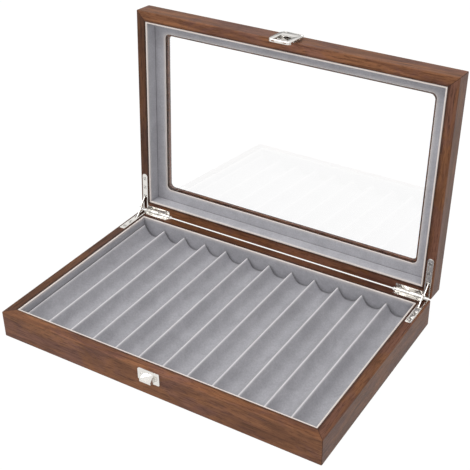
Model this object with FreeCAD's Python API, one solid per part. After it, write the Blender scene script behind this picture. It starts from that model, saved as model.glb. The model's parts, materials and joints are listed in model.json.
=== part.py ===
import FreeCAD, Part
import math
import os

# Pen storage box: a shallow hardwood tray with twelve pen grooves and a hinged lid with a glass window.
# The lid stands open, held by the stays of its two corner hinges.
# Frame: origin at the middle of the underside, +X to the right, +Y to the hinges, +Z up. Millimetres.

V = FreeCAD.Vector

# Case
box_width = 340.0
box_depth = 222.0
base_height = 28.0
lid_height = 21.0
rim_gap = 0.6
wall = 10.2
edge_radius = 1.0
back_rim_radius = 0.4

# Bottom of the base
panel_thickness = 3.0
felt_thickness = 0.8
panel_rabbet = 4.0
panel_clearance = 0.1

# Cloth-covered linings
lining_thickness = 2.0
lining_recess = 0.2
lining_edge_radius = 0.7

# Pen tray
groove_count = 12
groove_depth = 11.0
groove_floor = 4.4
ridge_half_width = 0.6
ridge_rise = 0.25
flank_angle = 58.0
groove_fillet = 7.5
tray_side_gap = 0.5
tray_end_gap = 0.9

# Lid window
top_panel_thickness = 3.4
top_panel_ledge = 5.0
glass_thickness = 1.6
frame_thickness = 1.4
window_border = 13.8
panel_lip = 2.0
window_corner_radius = 5.0

# Corner hinges
lid_open_angle = 93.5
axis_behind = 0.3
leaf_thickness = 1.6
leg_width = 6.2
leg_length = 43.4
back_leg_width = 6.4
leaf_back_inset = 0.2
barrel_radius = 1.9
barrel_inner_inset = 37.0
barrel_outer_inset = 7.4
knuckle_gap = 0.4
barrel_clearance = 0.3
pin_radius = 0.8
pin_tip = 1.6
running_clearance = 0.05
base_leg_corner = 1.2
lid_leg_corner = 3.0

# Screw seats of the hinge leaves
screw_seat_radius = 1.9
leg_screw_reach = (27.5, 37.8)
back_screw_inset = (12.6, 32.6)
back_screw_depth = 4.2

# Stays
stay_reach = 16.5
stay_pin_radius = 0.5
stay_pin_length = 5.4
eye_radius = 1.35
link_width = 2.0
link_thickness = 0.8
link_gap = 0.3
rivet_head_radius = 1.2
rivet_head_height = 0.45
slot_width = 3.8
slot_margin = 0.45

# Front catch on the base
catch_half_width = 11.5
catch_height = 12.4
catch_top_inset = 0.2
plate_thickness = 1.0
plate_corner = 1.6
nose_half_width = 5.9
nose_reach = 6.5
nose_bottom = 10.2
nose_top = 1.4
nose_tip_height = 3.4
nose_scoop_radius = 2.3
nose_scoop_depth = 0.6
nose_scoop_drop = 0.6
nose_scoop_x = -1.4
nose_rounding = 1.0
catch_hole_x = 7.7
catch_hole_drop = 6.0

# Hasp on the lid
hasp_plate_half_width = 10.5
hasp_plate_bottom = 0.6
hasp_plate_top = 14.5
hasp_axis_height = 14.5
hasp_axis_reach = 2.4
hasp_barrel_radius = 1.6
hasp_pin_radius = 0.7
hasp_knuckle_half = 6.1
hasp_gap = 0.4
hasp_skin = 1.0
hasp_front = 4.2
hasp_skirt_clearance = 0.4
hasp_half_width = 11.8
hasp_below_rim = 13.3
hasp_shoulder_drop = 2.1
hasp_step = 0.25
hasp_lap = 2.0
hasp_corner = 3.8
hasp_window_half = 6.5
hasp_window_below = 11.3
hasp_window_above = 3.5
hasp_window_corner = 1.4
lip_slot_x = 6.0
lip_slot_half = 1.6
side_slot_bottom = -7.5
side_slot_top = 6.0
shell_slot_height = 1.1
shell_slot_inset = 0.65
cutout_inner = 1.3
cutout_outer = 5.6
cutout_bottom = 3.2
cutout_top = 11.0
hasp_hole_x = 8.1
hasp_hole_height = 5.2

# Nail holes of the catch and the hasp plate
nail_hole_radius = 0.7

# Sizes that follow from the ones above
half_width = box_width / 2
half_depth = box_depth / 2
rim = base_height
lid_rim = base_height + rim_gap
lid_top = lid_rim + lid_height
axis_y = half_depth + axis_behind
axis_z = base_height + rim_gap / 2
panel_top = felt_thickness + panel_thickness
leg_middle = half_width - wall / 2
barrel_inner = half_width - barrel_inner_inset
barrel_outer = half_width - barrel_outer_inset
knuckle_split = (barrel_inner + barrel_outer) / 2
stay_pin_drop = rim_gap / 2 + leaf_thickness / 2
front_face = -half_depth

# Extra length of a cut beyond the faces it opens, short and long
over = 1.0
far = box_width


def block(x0, x1, y0, y1, z0, z1):
    """Box between two corners."""
    return Part.makeBox(x1 - x0, y1 - y0, z1 - z0, V(x0, y0, z0))


def prism(points, direction):
    """Straight prism on a closed outline of points."""
    outline = Part.makePolygon(list(points) + [points[0]])
    return Part.Face(outline).extrude(direction)


def rod(radius, x0, x1, y, z):
    """Cylinder along X."""
    return Part.makeCylinder(radius, x1 - x0, V(x0, y, z), V(1, 0, 0))


def rounded_block(half_x, half_y, z0, z1, radius):
    """Block centred on the Z axis with rounded upright corners."""
    solid = block(-half_x, half_x, -half_y, half_y, z0, z1)
    return solid.makeFillet(radius, [e for e in solid.Edges if e.BoundBox.ZLength > (z1 - z0) / 2])


def edges_at_height(solid, z):
    """Edges that lie flat at one height."""
    return [e for e in solid.Edges if e.BoundBox.ZLength < 1e-6 and abs(e.BoundBox.ZMin - z) < 1e-6]


def case_block(z0, z1, rim_z):
    """Outside of one half of the case, with softened edges; the back edge of its rim stays crisper."""
    solid = block(-half_width, half_width, -half_depth, half_depth, z0, z1)
    back_rim = [e for e in edges_at_height(solid, rim_z) if abs(e.BoundBox.YMin - half_depth) < 1e-6]
    others = [e for e in solid.Edges if not any(e.isSame(edge) for edge in back_rim)]
    solid = solid.makeFillet(edge_radius, others)
    back_rim = [
        e for e in edges_at_height(solid, rim_z)
        if abs(e.BoundBox.YMin - half_depth) < 1e-6 and e.BoundBox.XLength > half_width
    ]
    return solid.makeFillet(back_rim_radius, back_rim)


def mitre_sectors():
    """Four wedges that part a rectangular ring along its mitres."""
    quadrants = [(-1, -1), (1, -1), (1, 1), (-1, 1)]
    outer_x, outer_y = half_width + far, half_depth + far
    inner_x, inner_y = half_width - 2 * wall, half_depth - 2 * wall
    outer = [V(outer_x * x, outer_y * y, -far) for x, y in quadrants]
    inner = [V(inner_x * x, inner_y * y, -far) for x, y in quadrants]
    wedges = {}
    for i, side in enumerate(("front", "right", "back", "left")):
        following = (i + 1) % 4
        outline = [outer[i], outer[following], inner[following], inner[i]]
        wedges[side] = prism(outline, V(0, 0, 3 * far))
    return wedges


sectors = mitre_sectors()


def mitred(ring, name):
    """Split a ring into its four mitred members."""
    return {name.format(side): ring.common(sector) for side, sector in sectors.items()}


def across_gap(shape):
    """Mirror from the base half to the lid half of a closed box."""
    return shape.mirror(V(0, 0, axis_z), V(0, 0, 1))


def to_left(shape):
    """Mirror from the right hinge to the left one."""
    return shape.mirror(V(0, 0, 0), V(1, 0, 0))


def opened(shape):
    """Turn a lid piece from the closed lid to the open one."""
    turned = shape.copy()
    turned.rotate(V(0, axis_y, axis_z), V(1, 0, 0), -lid_open_angle)
    return turned


def leaf_outline(corner, back, z0, z1):
    """L-shaped slab of a right-hand leaf without its knuckle, reaching back to the given depth."""
    x0, x1 = leg_middle - leg_width / 2, leg_middle + leg_width / 2
    front = axis_y - leg_length
    side_leg = block(x0, x1, front, back, z0, z1)
    front_corners = [
        e for e in side_leg.Edges
        if e.BoundBox.ZLength > (z1 - z0) / 2 and abs(e.BoundBox.YMin - front) < 1e-6
    ]
    side_leg = side_leg.makeFillet(corner, front_corners)
    back_leg = block(barrel_inner, x1, half_depth - back_leg_width, back, z0, z1)
    return side_leg.fuse(back_leg)


def stay_slot(depth):
    """Room for the folded stay, from the rim down to the given depth."""
    front = axis_y - stay_reach - eye_radius - slot_margin
    back = axis_y - barrel_radius - barrel_clearance
    x0, x1 = leg_middle - slot_width / 2, leg_middle + slot_width / 2
    return block(x0, x1, front, back, rim - depth, rim + over)


def screw_seats():
    """The four round seats for the screw heads of a right-hand base leaf."""
    side = [V(leg_middle, axis_y - reach, rim) for reach in leg_screw_reach]
    back = [V(half_width - inset, half_depth - back_screw_depth, rim) for inset in back_screw_inset]
    down = V(0, 0, -1)
    seats = [Part.makeCylinder(screw_seat_radius, leaf_thickness, place, down) for place in side + back]
    return Part.makeCompound(seats)


def hinge_leaf(knuckle_from, knuckle_to, other_from, other_to, end_radius):
    """Right-hand base leaf: slab, rolled knuckle, slot for the stay and screw seats."""
    slab = leaf_outline(end_radius, half_depth - leaf_back_inset, rim - leaf_thickness, rim)
    slab = slab.cut(rod(barrel_radius + barrel_clearance, other_from, other_to, axis_y, axis_z))
    tongue = block(
        knuckle_from, knuckle_to, half_depth - back_leg_width, axis_y, rim - leaf_thickness, rim,
    )
    leaf = slab.fuse(tongue).fuse(rod(barrel_radius, knuckle_from, knuckle_to, axis_y, axis_z))
    leaf = leaf.cut(stay_slot(2 * leaf_thickness))
    leaf = leaf.cut(screw_seats())
    leaf = leaf.cut(stay_pin())
    return leaf.removeSplitter()


def stay_pin():
    """Cross pin of the stay in a right-hand base leaf."""
    x0 = leg_middle - stay_pin_length / 2
    return rod(stay_pin_radius, x0, x0 + stay_pin_length, axis_y - stay_reach, axis_z - stay_pin_drop)


def hinge_room(end_radius):
    """What a right-hand hinge takes out of the base rails: leaf bed, barrel groove and stay mortise."""
    bed = leaf_outline(end_radius, half_depth + over, rim - leaf_thickness, rim + over)
    barrel = rod(
        barrel_radius + barrel_clearance, barrel_inner - pin_tip - 2 * barrel_clearance,
        barrel_outer + barrel_clearance, axis_y, axis_z,
    )
    mortise = stay_slot(stay_pin_drop - rim_gap / 2 + eye_radius + slot_margin)
    return bed.fuse(barrel).fuse(mortise)


def stay_geometry():
    """Lengths and angles of the two-link stay: link length, open slope and closed slope."""
    swing = math.atan2(stay_pin_drop, stay_reach)
    radius = math.hypot(stay_pin_drop, stay_reach)
    apart = math.radians(lid_open_angle) + 2 * swing
    length = radius * math.sin(apart / 2)
    open_slope = math.pi / 2 - (apart / 2 - swing)
    closed_slope = math.asin(stay_pin_drop / length)
    return length, open_slope, closed_slope


def stay_link(x0, rivet_side):
    """One link of the right-hand stay, pinned on the base leaf and lying along its open slope."""
    length, open_slope, closed_slope = stay_geometry()
    pivot = V(0, axis_y - stay_reach, axis_z - stay_pin_drop)
    x1 = x0 + link_thickness
    eyes = rod(eye_radius, x0, x1, 0, 0).fuse(rod(eye_radius, x0, x1, length, 0))
    link = eyes.fuse(block(x0, x1, 0, length, -link_width / 2, link_width / 2))
    link = link.cut(rod(stay_pin_radius + running_clearance, x0 - over, x1 + over, 0, 0))
    head_from = x1 if rivet_side > 0 else x0 - rivet_head_height
    head = rod(rivet_head_radius, head_from, head_from + rivet_head_height, length, 0)
    link = link.fuse(head).removeSplitter()
    link.rotate(V(0, 0, 0), V(1, 0, 0), math.degrees(open_slope))
    link.translate(pivot)
    return link


def base_ring():
    """Wooden wall of the base, before the hinge mortises."""
    solid = case_block(0, base_height, base_height)
    inner_x, inner_y = half_width - wall, half_depth - wall
    solid = solid.cut(block(-inner_x, inner_x, -inner_y, inner_y, -over, base_height + over))
    ledge_x, ledge_y = inner_x + panel_rabbet, inner_y + panel_rabbet
    return solid.cut(block(-ledge_x, ledge_x, -ledge_y, ledge_y, -over, panel_top))


def lid_ring():
    """Wooden wall of the lid, before the hinge mortises, in its closed place."""
    solid = case_block(lid_rim, lid_top, lid_rim)
    inner_x, inner_y = half_width - wall, half_depth - wall
    solid = solid.cut(block(-inner_x, inner_x, -inner_y, inner_y, lid_rim - over, lid_top + over))
    ledge_x, ledge_y = inner_x + top_panel_ledge, inner_y + top_panel_ledge
    ledge_z = lid_top - top_panel_thickness
    return solid.cut(block(-ledge_x, ledge_x, -ledge_y, ledge_y, ledge_z, lid_top + over))


def lining_ring(z0, z1):
    """Cloth-covered lining inside the wall, with a softened rim edge at z1."""
    outer_x, outer_y = half_width - wall, half_depth - wall
    inner_x, inner_y = outer_x - lining_thickness, outer_y - lining_thickness
    low, high = min(z0, z1), max(z0, z1)
    solid = block(-outer_x, outer_x, -outer_y, outer_y, low, high)
    solid = solid.cut(block(-inner_x, inner_x, -inner_y, inner_y, low - over, high + over))
    middle_x = (outer_x + inner_x) / 2
    inside = [e for e in edges_at_height(solid, z1) if max(-e.BoundBox.XMin, e.BoundBox.XMax) < middle_x]
    return solid.makeFillet(lining_edge_radius, inside)


def holed_board(half_x, half_y, z0, z1, opening_x, opening_y):
    """Flat board with the window opening, whose corners are rounded."""
    solid = block(-half_x, half_x, -half_y, half_y, z0, z1)
    return solid.cut(rounded_block(opening_x, opening_y, z0 - over, z1 + over, window_corner_radius))


def groove_outline(middle, half_pitch, crest, floor):
    """One groove from left to right: flank head, two arcs as three points each, flank head."""
    slope = math.radians(flank_angle)
    top_x = half_pitch - ridge_half_width
    top_z = crest - ridge_rise
    depth = top_z - floor
    arc_x = top_x - (depth - groove_fillet) / math.tan(slope) - groove_fillet / math.sin(slope)
    if arc_x < 0:
        raise ValueError("groove fillet is too large for the groove")
    start_x = arc_x + groove_fillet * math.sin(slope)
    start_z = floor + groove_fillet - groove_fillet * math.cos(slope)
    half = slope / 2
    bend_x = arc_x + groove_fillet * math.sin(half)
    bend_z = floor + groove_fillet - groove_fillet * math.cos(half)
    right = [V(middle + arc_x, 0, floor), V(middle + bend_x, 0, bend_z), V(middle + start_x, 0, start_z)]
    left = [V(2 * middle - p.x, 0, p.z) for p in reversed(right)]
    return V(middle - top_x, 0, top_z), left, right, V(middle + top_x, 0, top_z)


def ridge_arc(start, end, crest):
    """Rounded top of a ridge between two points at the head of its flanks."""
    return Part.Arc(start, V((start.x + end.x) / 2, 0, crest), end).toShape()


def pen_tray():
    """Grooved tray: rounded valleys between narrow ridges, run from front to back."""
    half_x = half_width - wall - lining_thickness - tray_side_gap
    half_y = half_depth - wall - lining_thickness - tray_end_gap
    floor = panel_top + groove_floor
    crest = floor + groove_depth
    pitch = 2 * (half_x - ridge_half_width) / groove_count
    last = V(-half_x, 0, crest - ridge_rise)
    edges = [Part.makeLine(V(-half_x, 0, panel_top), last)]
    for i in range(groove_count):
        middle = -half_x + ridge_half_width + pitch * (i + 0.5)
        start, left, right, end = groove_outline(middle, pitch / 2, crest, floor)
        edges.append(ridge_arc(last, start, crest))
        edges.append(Part.makeLine(start, left[0]))
        edges.append(Part.Arc(*left).toShape())
        edges.append(Part.makeLine(left[-1], right[0]))
        edges.append(Part.Arc(*right).toShape())
        edges.append(Part.makeLine(right[-1], end))
        last = end
    corners = [V(half_x, 0, last.z), V(half_x, 0, panel_top), V(-half_x, 0, panel_top)]
    edges.append(ridge_arc(last, corners[0], crest))
    edges += [Part.makeLine(a, b) for a, b in zip(corners, corners[1:])]
    face = Part.Face(Part.Wire(edges))
    face.translate(V(0, -half_y, 0))
    return face.extrude(V(0, 2 * half_y, 0))


def front_plate(half_x, z0, z1, radius):
    """Thin plate on the front face with rounded corners."""
    plate = block(-half_x, half_x, front_face - plate_thickness, front_face, z0, z1)
    corners = [e for e in plate.Edges if e.BoundBox.YLength > plate_thickness / 2]
    return plate.makeFillet(radius, corners)


def nail_holes(half_x, z):
    """Two nail holes through a plate on the front face."""
    places = [V(x, front_face - plate_thickness, z) for x in (-half_x, half_x)]
    holes = [Part.makeCylinder(nail_hole_radius, plate_thickness, place, V(0, 1, 0)) for place in places]
    return Part.makeCompound(holes)


def catch_plate():
    """Catch: thin plate with a ramped nose that the hasp drops over."""
    top = rim - catch_top_inset
    plate = front_plate(catch_half_width, top - catch_height, top, plate_corner)
    y = front_face - plate_thickness / 2
    tip = front_face - nose_reach
    profile = [
        V(-nose_half_width, y, top - nose_bottom),
        V(-nose_half_width, tip + nose_rounding, top - nose_bottom),
        V(-nose_half_width, tip, top - nose_bottom + nose_rounding),
        V(-nose_half_width, tip, top - nose_bottom + nose_tip_height),
        V(-nose_half_width, y, top - nose_top),
    ]
    nose = prism(profile, V(2 * nose_half_width, 0, 0))
    ramp_top = V(0, front_face - plate_thickness, top - nose_top)
    ramp_low = V(0, tip, top - nose_bottom + nose_tip_height)
    along = (ramp_low - ramp_top).normalize()
    outward = V(0, along.z, -along.y)
    dent = ramp_top + along * nose_scoop_drop - outward * nose_scoop_depth + V(nose_scoop_x, 0, 0)
    scoop = Part.makeCylinder(nose_scoop_radius, nose_reach, dent, outward)
    nose = nose.cut(scoop)
    return plate.fuse(nose).cut(nail_holes(catch_hole_x, top - catch_hole_drop)).removeSplitter()


def hasp_axis():
    """Height and reach of the hasp pin: (y, z) with the lid closed."""
    return front_face - hasp_axis_reach, lid_rim + hasp_axis_height


def hasp_plate():
    """Plate on the lid's front with two open windows, a tongue between them and two knuckles."""
    y, z = hasp_axis()
    bottom, top = lid_rim + hasp_plate_bottom, lid_rim + hasp_plate_top
    plate = front_plate(hasp_plate_half_width, bottom, top, plate_corner)
    room = hasp_knuckle_half + hasp_gap
    clear = hasp_barrel_radius + barrel_clearance
    plate = plate.cut(rod(clear, -room, room, y, z))
    for side in (-1, 1):
        inner, outer = sorted((side * cutout_inner, side * cutout_outer))
        plate = plate.cut(block(
            inner, outer, front_face - plate_thickness - over, front_face + over,
            lid_rim + cutout_bottom, lid_rim + cutout_top,
        ))
        start, end = sorted((side * room, side * hasp_plate_half_width))
        knuckle = rod(hasp_barrel_radius, start, end, y, z)
        foot = block(start, end, y, front_face, z - hasp_barrel_radius, z)
        plate = plate.fuse(knuckle).fuse(foot)
    plate = plate.cut(rod(hasp_pin_radius, -hasp_half_width, hasp_half_width, y, z))
    return plate.cut(nail_holes(hasp_hole_x, lid_rim + hasp_hole_height)).removeSplitter()


def hasp_pin():
    """Pin through the knuckles of the hasp."""
    y, z = hasp_axis()
    return rod(hasp_pin_radius, -hasp_plate_half_width, hasp_plate_half_width, y, z)


def hasp_flap():
    """Swinging hasp: a shallow pressed shell with a window and slotted walls, on its middle knuckle."""
    y, z = hasp_axis()
    outer_y = front_face - hasp_front
    inner_y = outer_y + hasp_skin
    skirt_y = front_face - plate_thickness - hasp_skirt_clearance
    bottom = lid_rim - hasp_below_rim
    shoulder = z - hasp_shoulder_drop
    body = block(-hasp_half_width, hasp_half_width, outer_y, skirt_y, bottom, shoulder)
    corners = [e for e in body.Edges if e.BoundBox.YLength > hasp_skin]
    body = body.makeFillet(hasp_corner, corners)
    front_edges = [
        e for e in body.Edges if e.BoundBox.YLength < 1e-6 and abs(e.BoundBox.YMin - outer_y) < 1e-6
    ]
    body = body.makeChamfer(hasp_skin / 2, front_edges)
    inside = hasp_half_width - hasp_skin
    hollow = block(-inside, inside, inner_y, skirt_y + over, bottom + hasp_skin, shoulder + over)
    body = body.cut(hollow)
    window = block(
        -hasp_window_half, hasp_window_half, outer_y - over, inner_y + over,
        lid_rim - hasp_window_below, lid_rim + hasp_window_above,
    )
    window_corners = [e for e in window.Edges if e.BoundBox.YLength > hasp_skin]
    body = body.cut(window.makeFillet(hasp_window_corner, window_corners))
    slot_y = skirt_y - shell_slot_inset
    for x in (-lip_slot_x, lip_slot_x):
        body = body.cut(block(
            x - lip_slot_half, x + lip_slot_half, slot_y - shell_slot_height, slot_y,
            bottom - over, bottom + 1.5 * hasp_skin,
        ))
    body = body.cut(block(
        -hasp_half_width - over, hasp_half_width + over, slot_y - shell_slot_height, slot_y,
        lid_rim + side_slot_bottom, lid_rim + side_slot_top,
    ))
    front, low = outer_y + hasp_step, shoulder - hasp_lap
    tongue = block(-hasp_knuckle_half, hasp_knuckle_half, front, inner_y, low, z)
    barrel = rod(hasp_barrel_radius, -hasp_knuckle_half, hasp_knuckle_half, y, z)
    flap = body.fuse(tongue).fuse(barrel)
    bore = rod(hasp_pin_radius + running_clearance, -hasp_half_width, hasp_half_width, y, z)
    return flap.cut(bore).removeSplitter()


def hinge_parts():
    """Leaves, pins and stay links of both hinges, each in its place with the lid open."""
    gap = knuckle_gap / 2
    inner = (barrel_inner, knuckle_split - gap)
    outer = (knuckle_split + gap, barrel_outer)
    lower_x = leg_middle - link_gap / 2 - link_thickness
    upper_x = leg_middle + link_gap / 2
    base_leaf = hinge_leaf(*inner, knuckle_split - gap, barrel_outer + gap, base_leg_corner)
    lid_leaf = hinge_leaf(*outer, barrel_inner - gap, knuckle_split + gap, lid_leg_corner)
    pin = rod(pin_radius, barrel_inner - pin_tip, barrel_outer, axis_y, axis_z)
    bore = rod(pin_radius + running_clearance, barrel_inner - pin_tip, half_width, axis_y, axis_z)
    lid_leaf = across_gap(lid_leaf).cut(bore)
    base_leaf = base_leaf.cut(pin)
    right = {
        "base_hinge_leaf_{}": base_leaf,
        "lid_hinge_leaf_{}": opened(lid_leaf),
        "hinge_pin_{}": pin,
        "base_stay_pin_{}": stay_pin(),
        "lid_stay_pin_{}": opened(across_gap(stay_pin())),
        "lower_stay_link_{}": stay_link(lower_x, -1),
        "upper_stay_link_{}": opened(across_gap(stay_link(upper_x, 1))),
    }
    parts = {name.format("right"): shape for name, shape in right.items()}
    parts.update({name.format("left"): to_left(shape) for name, shape in right.items()})
    return parts


def base_parts():
    """Wooden case, bottom, linings and pen tray of the base."""
    ring = base_ring()
    room = hinge_room(base_leg_corner)
    ring = ring.cut(room).cut(to_left(room))
    parts = mitred(ring, "base_{}_rail")
    foot_x = half_width - wall + panel_rabbet - panel_clearance
    foot_y = half_depth - wall + panel_rabbet - panel_clearance
    parts["bottom_panel"] = block(-foot_x, foot_x, -foot_y, foot_y, felt_thickness, panel_top)
    parts["bottom_felt"] = block(-foot_x, foot_x, -foot_y, foot_y, 0, felt_thickness)
    parts.update(mitred(lining_ring(panel_top, rim - lining_recess), "base_{}_lining"))
    parts["pen_tray"] = pen_tray()
    parts["catch_plate"] = catch_plate()
    return parts


def lid_parts():
    """Wooden frame, window, linings and hasp plate of the lid, turned to the open place."""
    ring = lid_ring()
    room = across_gap(hinge_room(lid_leg_corner))
    ring = ring.cut(room).cut(to_left(room))
    parts = mitred(ring, "lid_{}_rail")
    inner_x, inner_y = half_width - wall, half_depth - wall
    opening_x, opening_y = inner_x - window_border, inner_y - window_border
    under_panel = lid_top - top_panel_thickness
    under_glass = under_panel - glass_thickness
    under_frame = under_glass - frame_thickness
    parts["lid_top_panel"] = holed_board(
        inner_x + top_panel_ledge, inner_y + top_panel_ledge, under_panel, lid_top,
        opening_x - panel_lip, opening_y - panel_lip,
    )
    parts["glass_pane"] = block(
        -inner_x + panel_clearance, inner_x - panel_clearance,
        -inner_y + panel_clearance, inner_y - panel_clearance, under_glass, under_panel,
    )
    parts["window_frame"] = holed_board(
        inner_x - panel_clearance, inner_y - panel_clearance,
        under_frame, under_glass, opening_x, opening_y,
    )
    parts.update(mitred(lining_ring(under_frame, lid_rim + lining_recess), "lid_{}_lining"))
    parts["hasp_plate"] = hasp_plate()
    parts["hasp_pin"] = hasp_pin()
    parts["hasp_flap"] = hasp_flap()
    return {name: opened(shape) for name, shape in parts.items()}


def main():
    """Build every piece and write one file for each."""
    os.makedirs("parts", exist_ok=True)
    parts = {}
    parts.update(base_parts())
    parts.update(lid_parts())
    parts.update(hinge_parts())
    for name, shape in sorted(parts.items()):
        solids = shape.Solids
        valid = shape.isValid()
        print(f"{name:26s} solids {len(solids)} volume {shape.Volume:10.1f} valid {valid}")
        shape = solids[0] if len(solids) == 1 else Part.makeCompound(solids)
        shape.exportStep(f"parts/{name}.step")
    length, open_slope, closed_slope = stay_geometry()
    slopes = (math.degrees(open_slope), math.degrees(closed_slope))
    print(f"stay link {length:.3f} mm, slope {slopes[0]:.3f} to {slopes[1]:.3f} degrees")


main()
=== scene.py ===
import json
import logging
import math
from dataclasses import dataclass
from enum import Enum
from typing import Callable, Iterable, Optional, Union

import bmesh
import bpy
from mathutils import Matrix, Vector

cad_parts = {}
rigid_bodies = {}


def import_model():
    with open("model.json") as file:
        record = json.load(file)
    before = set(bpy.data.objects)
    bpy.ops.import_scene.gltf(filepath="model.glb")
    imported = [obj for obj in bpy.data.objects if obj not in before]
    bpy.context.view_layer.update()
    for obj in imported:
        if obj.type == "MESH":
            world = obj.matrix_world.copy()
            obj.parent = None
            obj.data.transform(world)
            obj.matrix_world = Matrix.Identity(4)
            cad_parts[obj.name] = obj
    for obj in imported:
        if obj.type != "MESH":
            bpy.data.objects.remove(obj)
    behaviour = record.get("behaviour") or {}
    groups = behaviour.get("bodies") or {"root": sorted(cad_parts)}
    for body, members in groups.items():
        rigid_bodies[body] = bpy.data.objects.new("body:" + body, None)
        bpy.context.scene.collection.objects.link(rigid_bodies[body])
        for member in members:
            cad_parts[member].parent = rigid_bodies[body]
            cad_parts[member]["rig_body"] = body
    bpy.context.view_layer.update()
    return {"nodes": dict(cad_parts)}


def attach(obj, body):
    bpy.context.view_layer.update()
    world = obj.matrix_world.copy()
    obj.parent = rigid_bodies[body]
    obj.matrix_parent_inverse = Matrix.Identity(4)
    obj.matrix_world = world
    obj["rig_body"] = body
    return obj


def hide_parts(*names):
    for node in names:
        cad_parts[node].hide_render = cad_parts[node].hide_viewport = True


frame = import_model()

log = logging.getLogger("pen_box")

Colour = tuple[float, float, float]
Value = Union[bpy.types.NodeSocket, float, tuple, bool, int]


class Slot(Enum):
    """Material slots of the record."""

    WALNUT = "walnut"
    BOARD = "panel_board"
    FELT = "felt"
    VELVET = "velvet"
    NICKEL = "nickel"
    GLASS = "window_glass"


class Half(Enum):
    """The two halves of the case."""

    BASE = "base"
    LID = "lid"


class Side(Enum):
    """Sides of the case: outward direction of each in plan."""

    FRONT = (0, -1)
    BACK = (0, 1)
    LEFT = (-1, 0)
    RIGHT = (1, 0)


def linear(red: int, green: int, blue: int) -> tuple[float, float, float, float]:
    """Turns a screen colour into the linear one that shaders use.

    Args:
        red: Red, 0 to 255.
        green: Green, 0 to 255.
        blue: Blue, 0 to 255.

    Returns:
        Linear red, green, blue and an alpha of 1.
    """
    parts = []
    for part in (red, green, blue):
        share = part / 255
        parts.append(share / 12.92 if share <= 0.04045 else ((share + 0.055) / 1.055) ** 2.4)
    return (*parts, 1.0)


@dataclass(frozen=True)
class Case:
    """Outer sizes of the shut case, in metres, and the way its lid opens."""

    half_width: float = 0.170
    half_depth: float = 0.111
    base_height: float = 0.0280
    lid_height: float = 0.0210
    rim_gap: float = 0.0006
    wall: float = 0.0102
    arris: float = 0.0010
    axis_behind: float = 0.0003
    open_angle: float = 93.5

    @property
    def lid_rim(self) -> float:
        """Height of the lid's rim when shut."""
        return self.base_height + self.rim_gap

    @property
    def lid_top(self) -> float:
        """Height of the lid's top when shut."""
        return self.lid_rim + self.lid_height

    @property
    def inner_x(self) -> float:
        """Half the clear width between the rails."""
        return self.half_width - self.wall

    @property
    def inner_y(self) -> float:
        """Half the clear depth between the rails."""
        return self.half_depth - self.wall

    @property
    def hinge_axis(self) -> Vector:
        """A point on the hinge axis."""
        return Vector((0, self.half_depth + self.axis_behind, self.base_height + self.rim_gap / 2))

    def opening(self) -> Matrix:
        """Returns the turn that takes a piece from the shut lid to the open one."""
        turn = Matrix.Rotation(-math.radians(self.open_angle), 4, "X")
        return Matrix.Translation(self.hinge_axis) @ turn @ Matrix.Translation(-self.hinge_axis)


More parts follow.
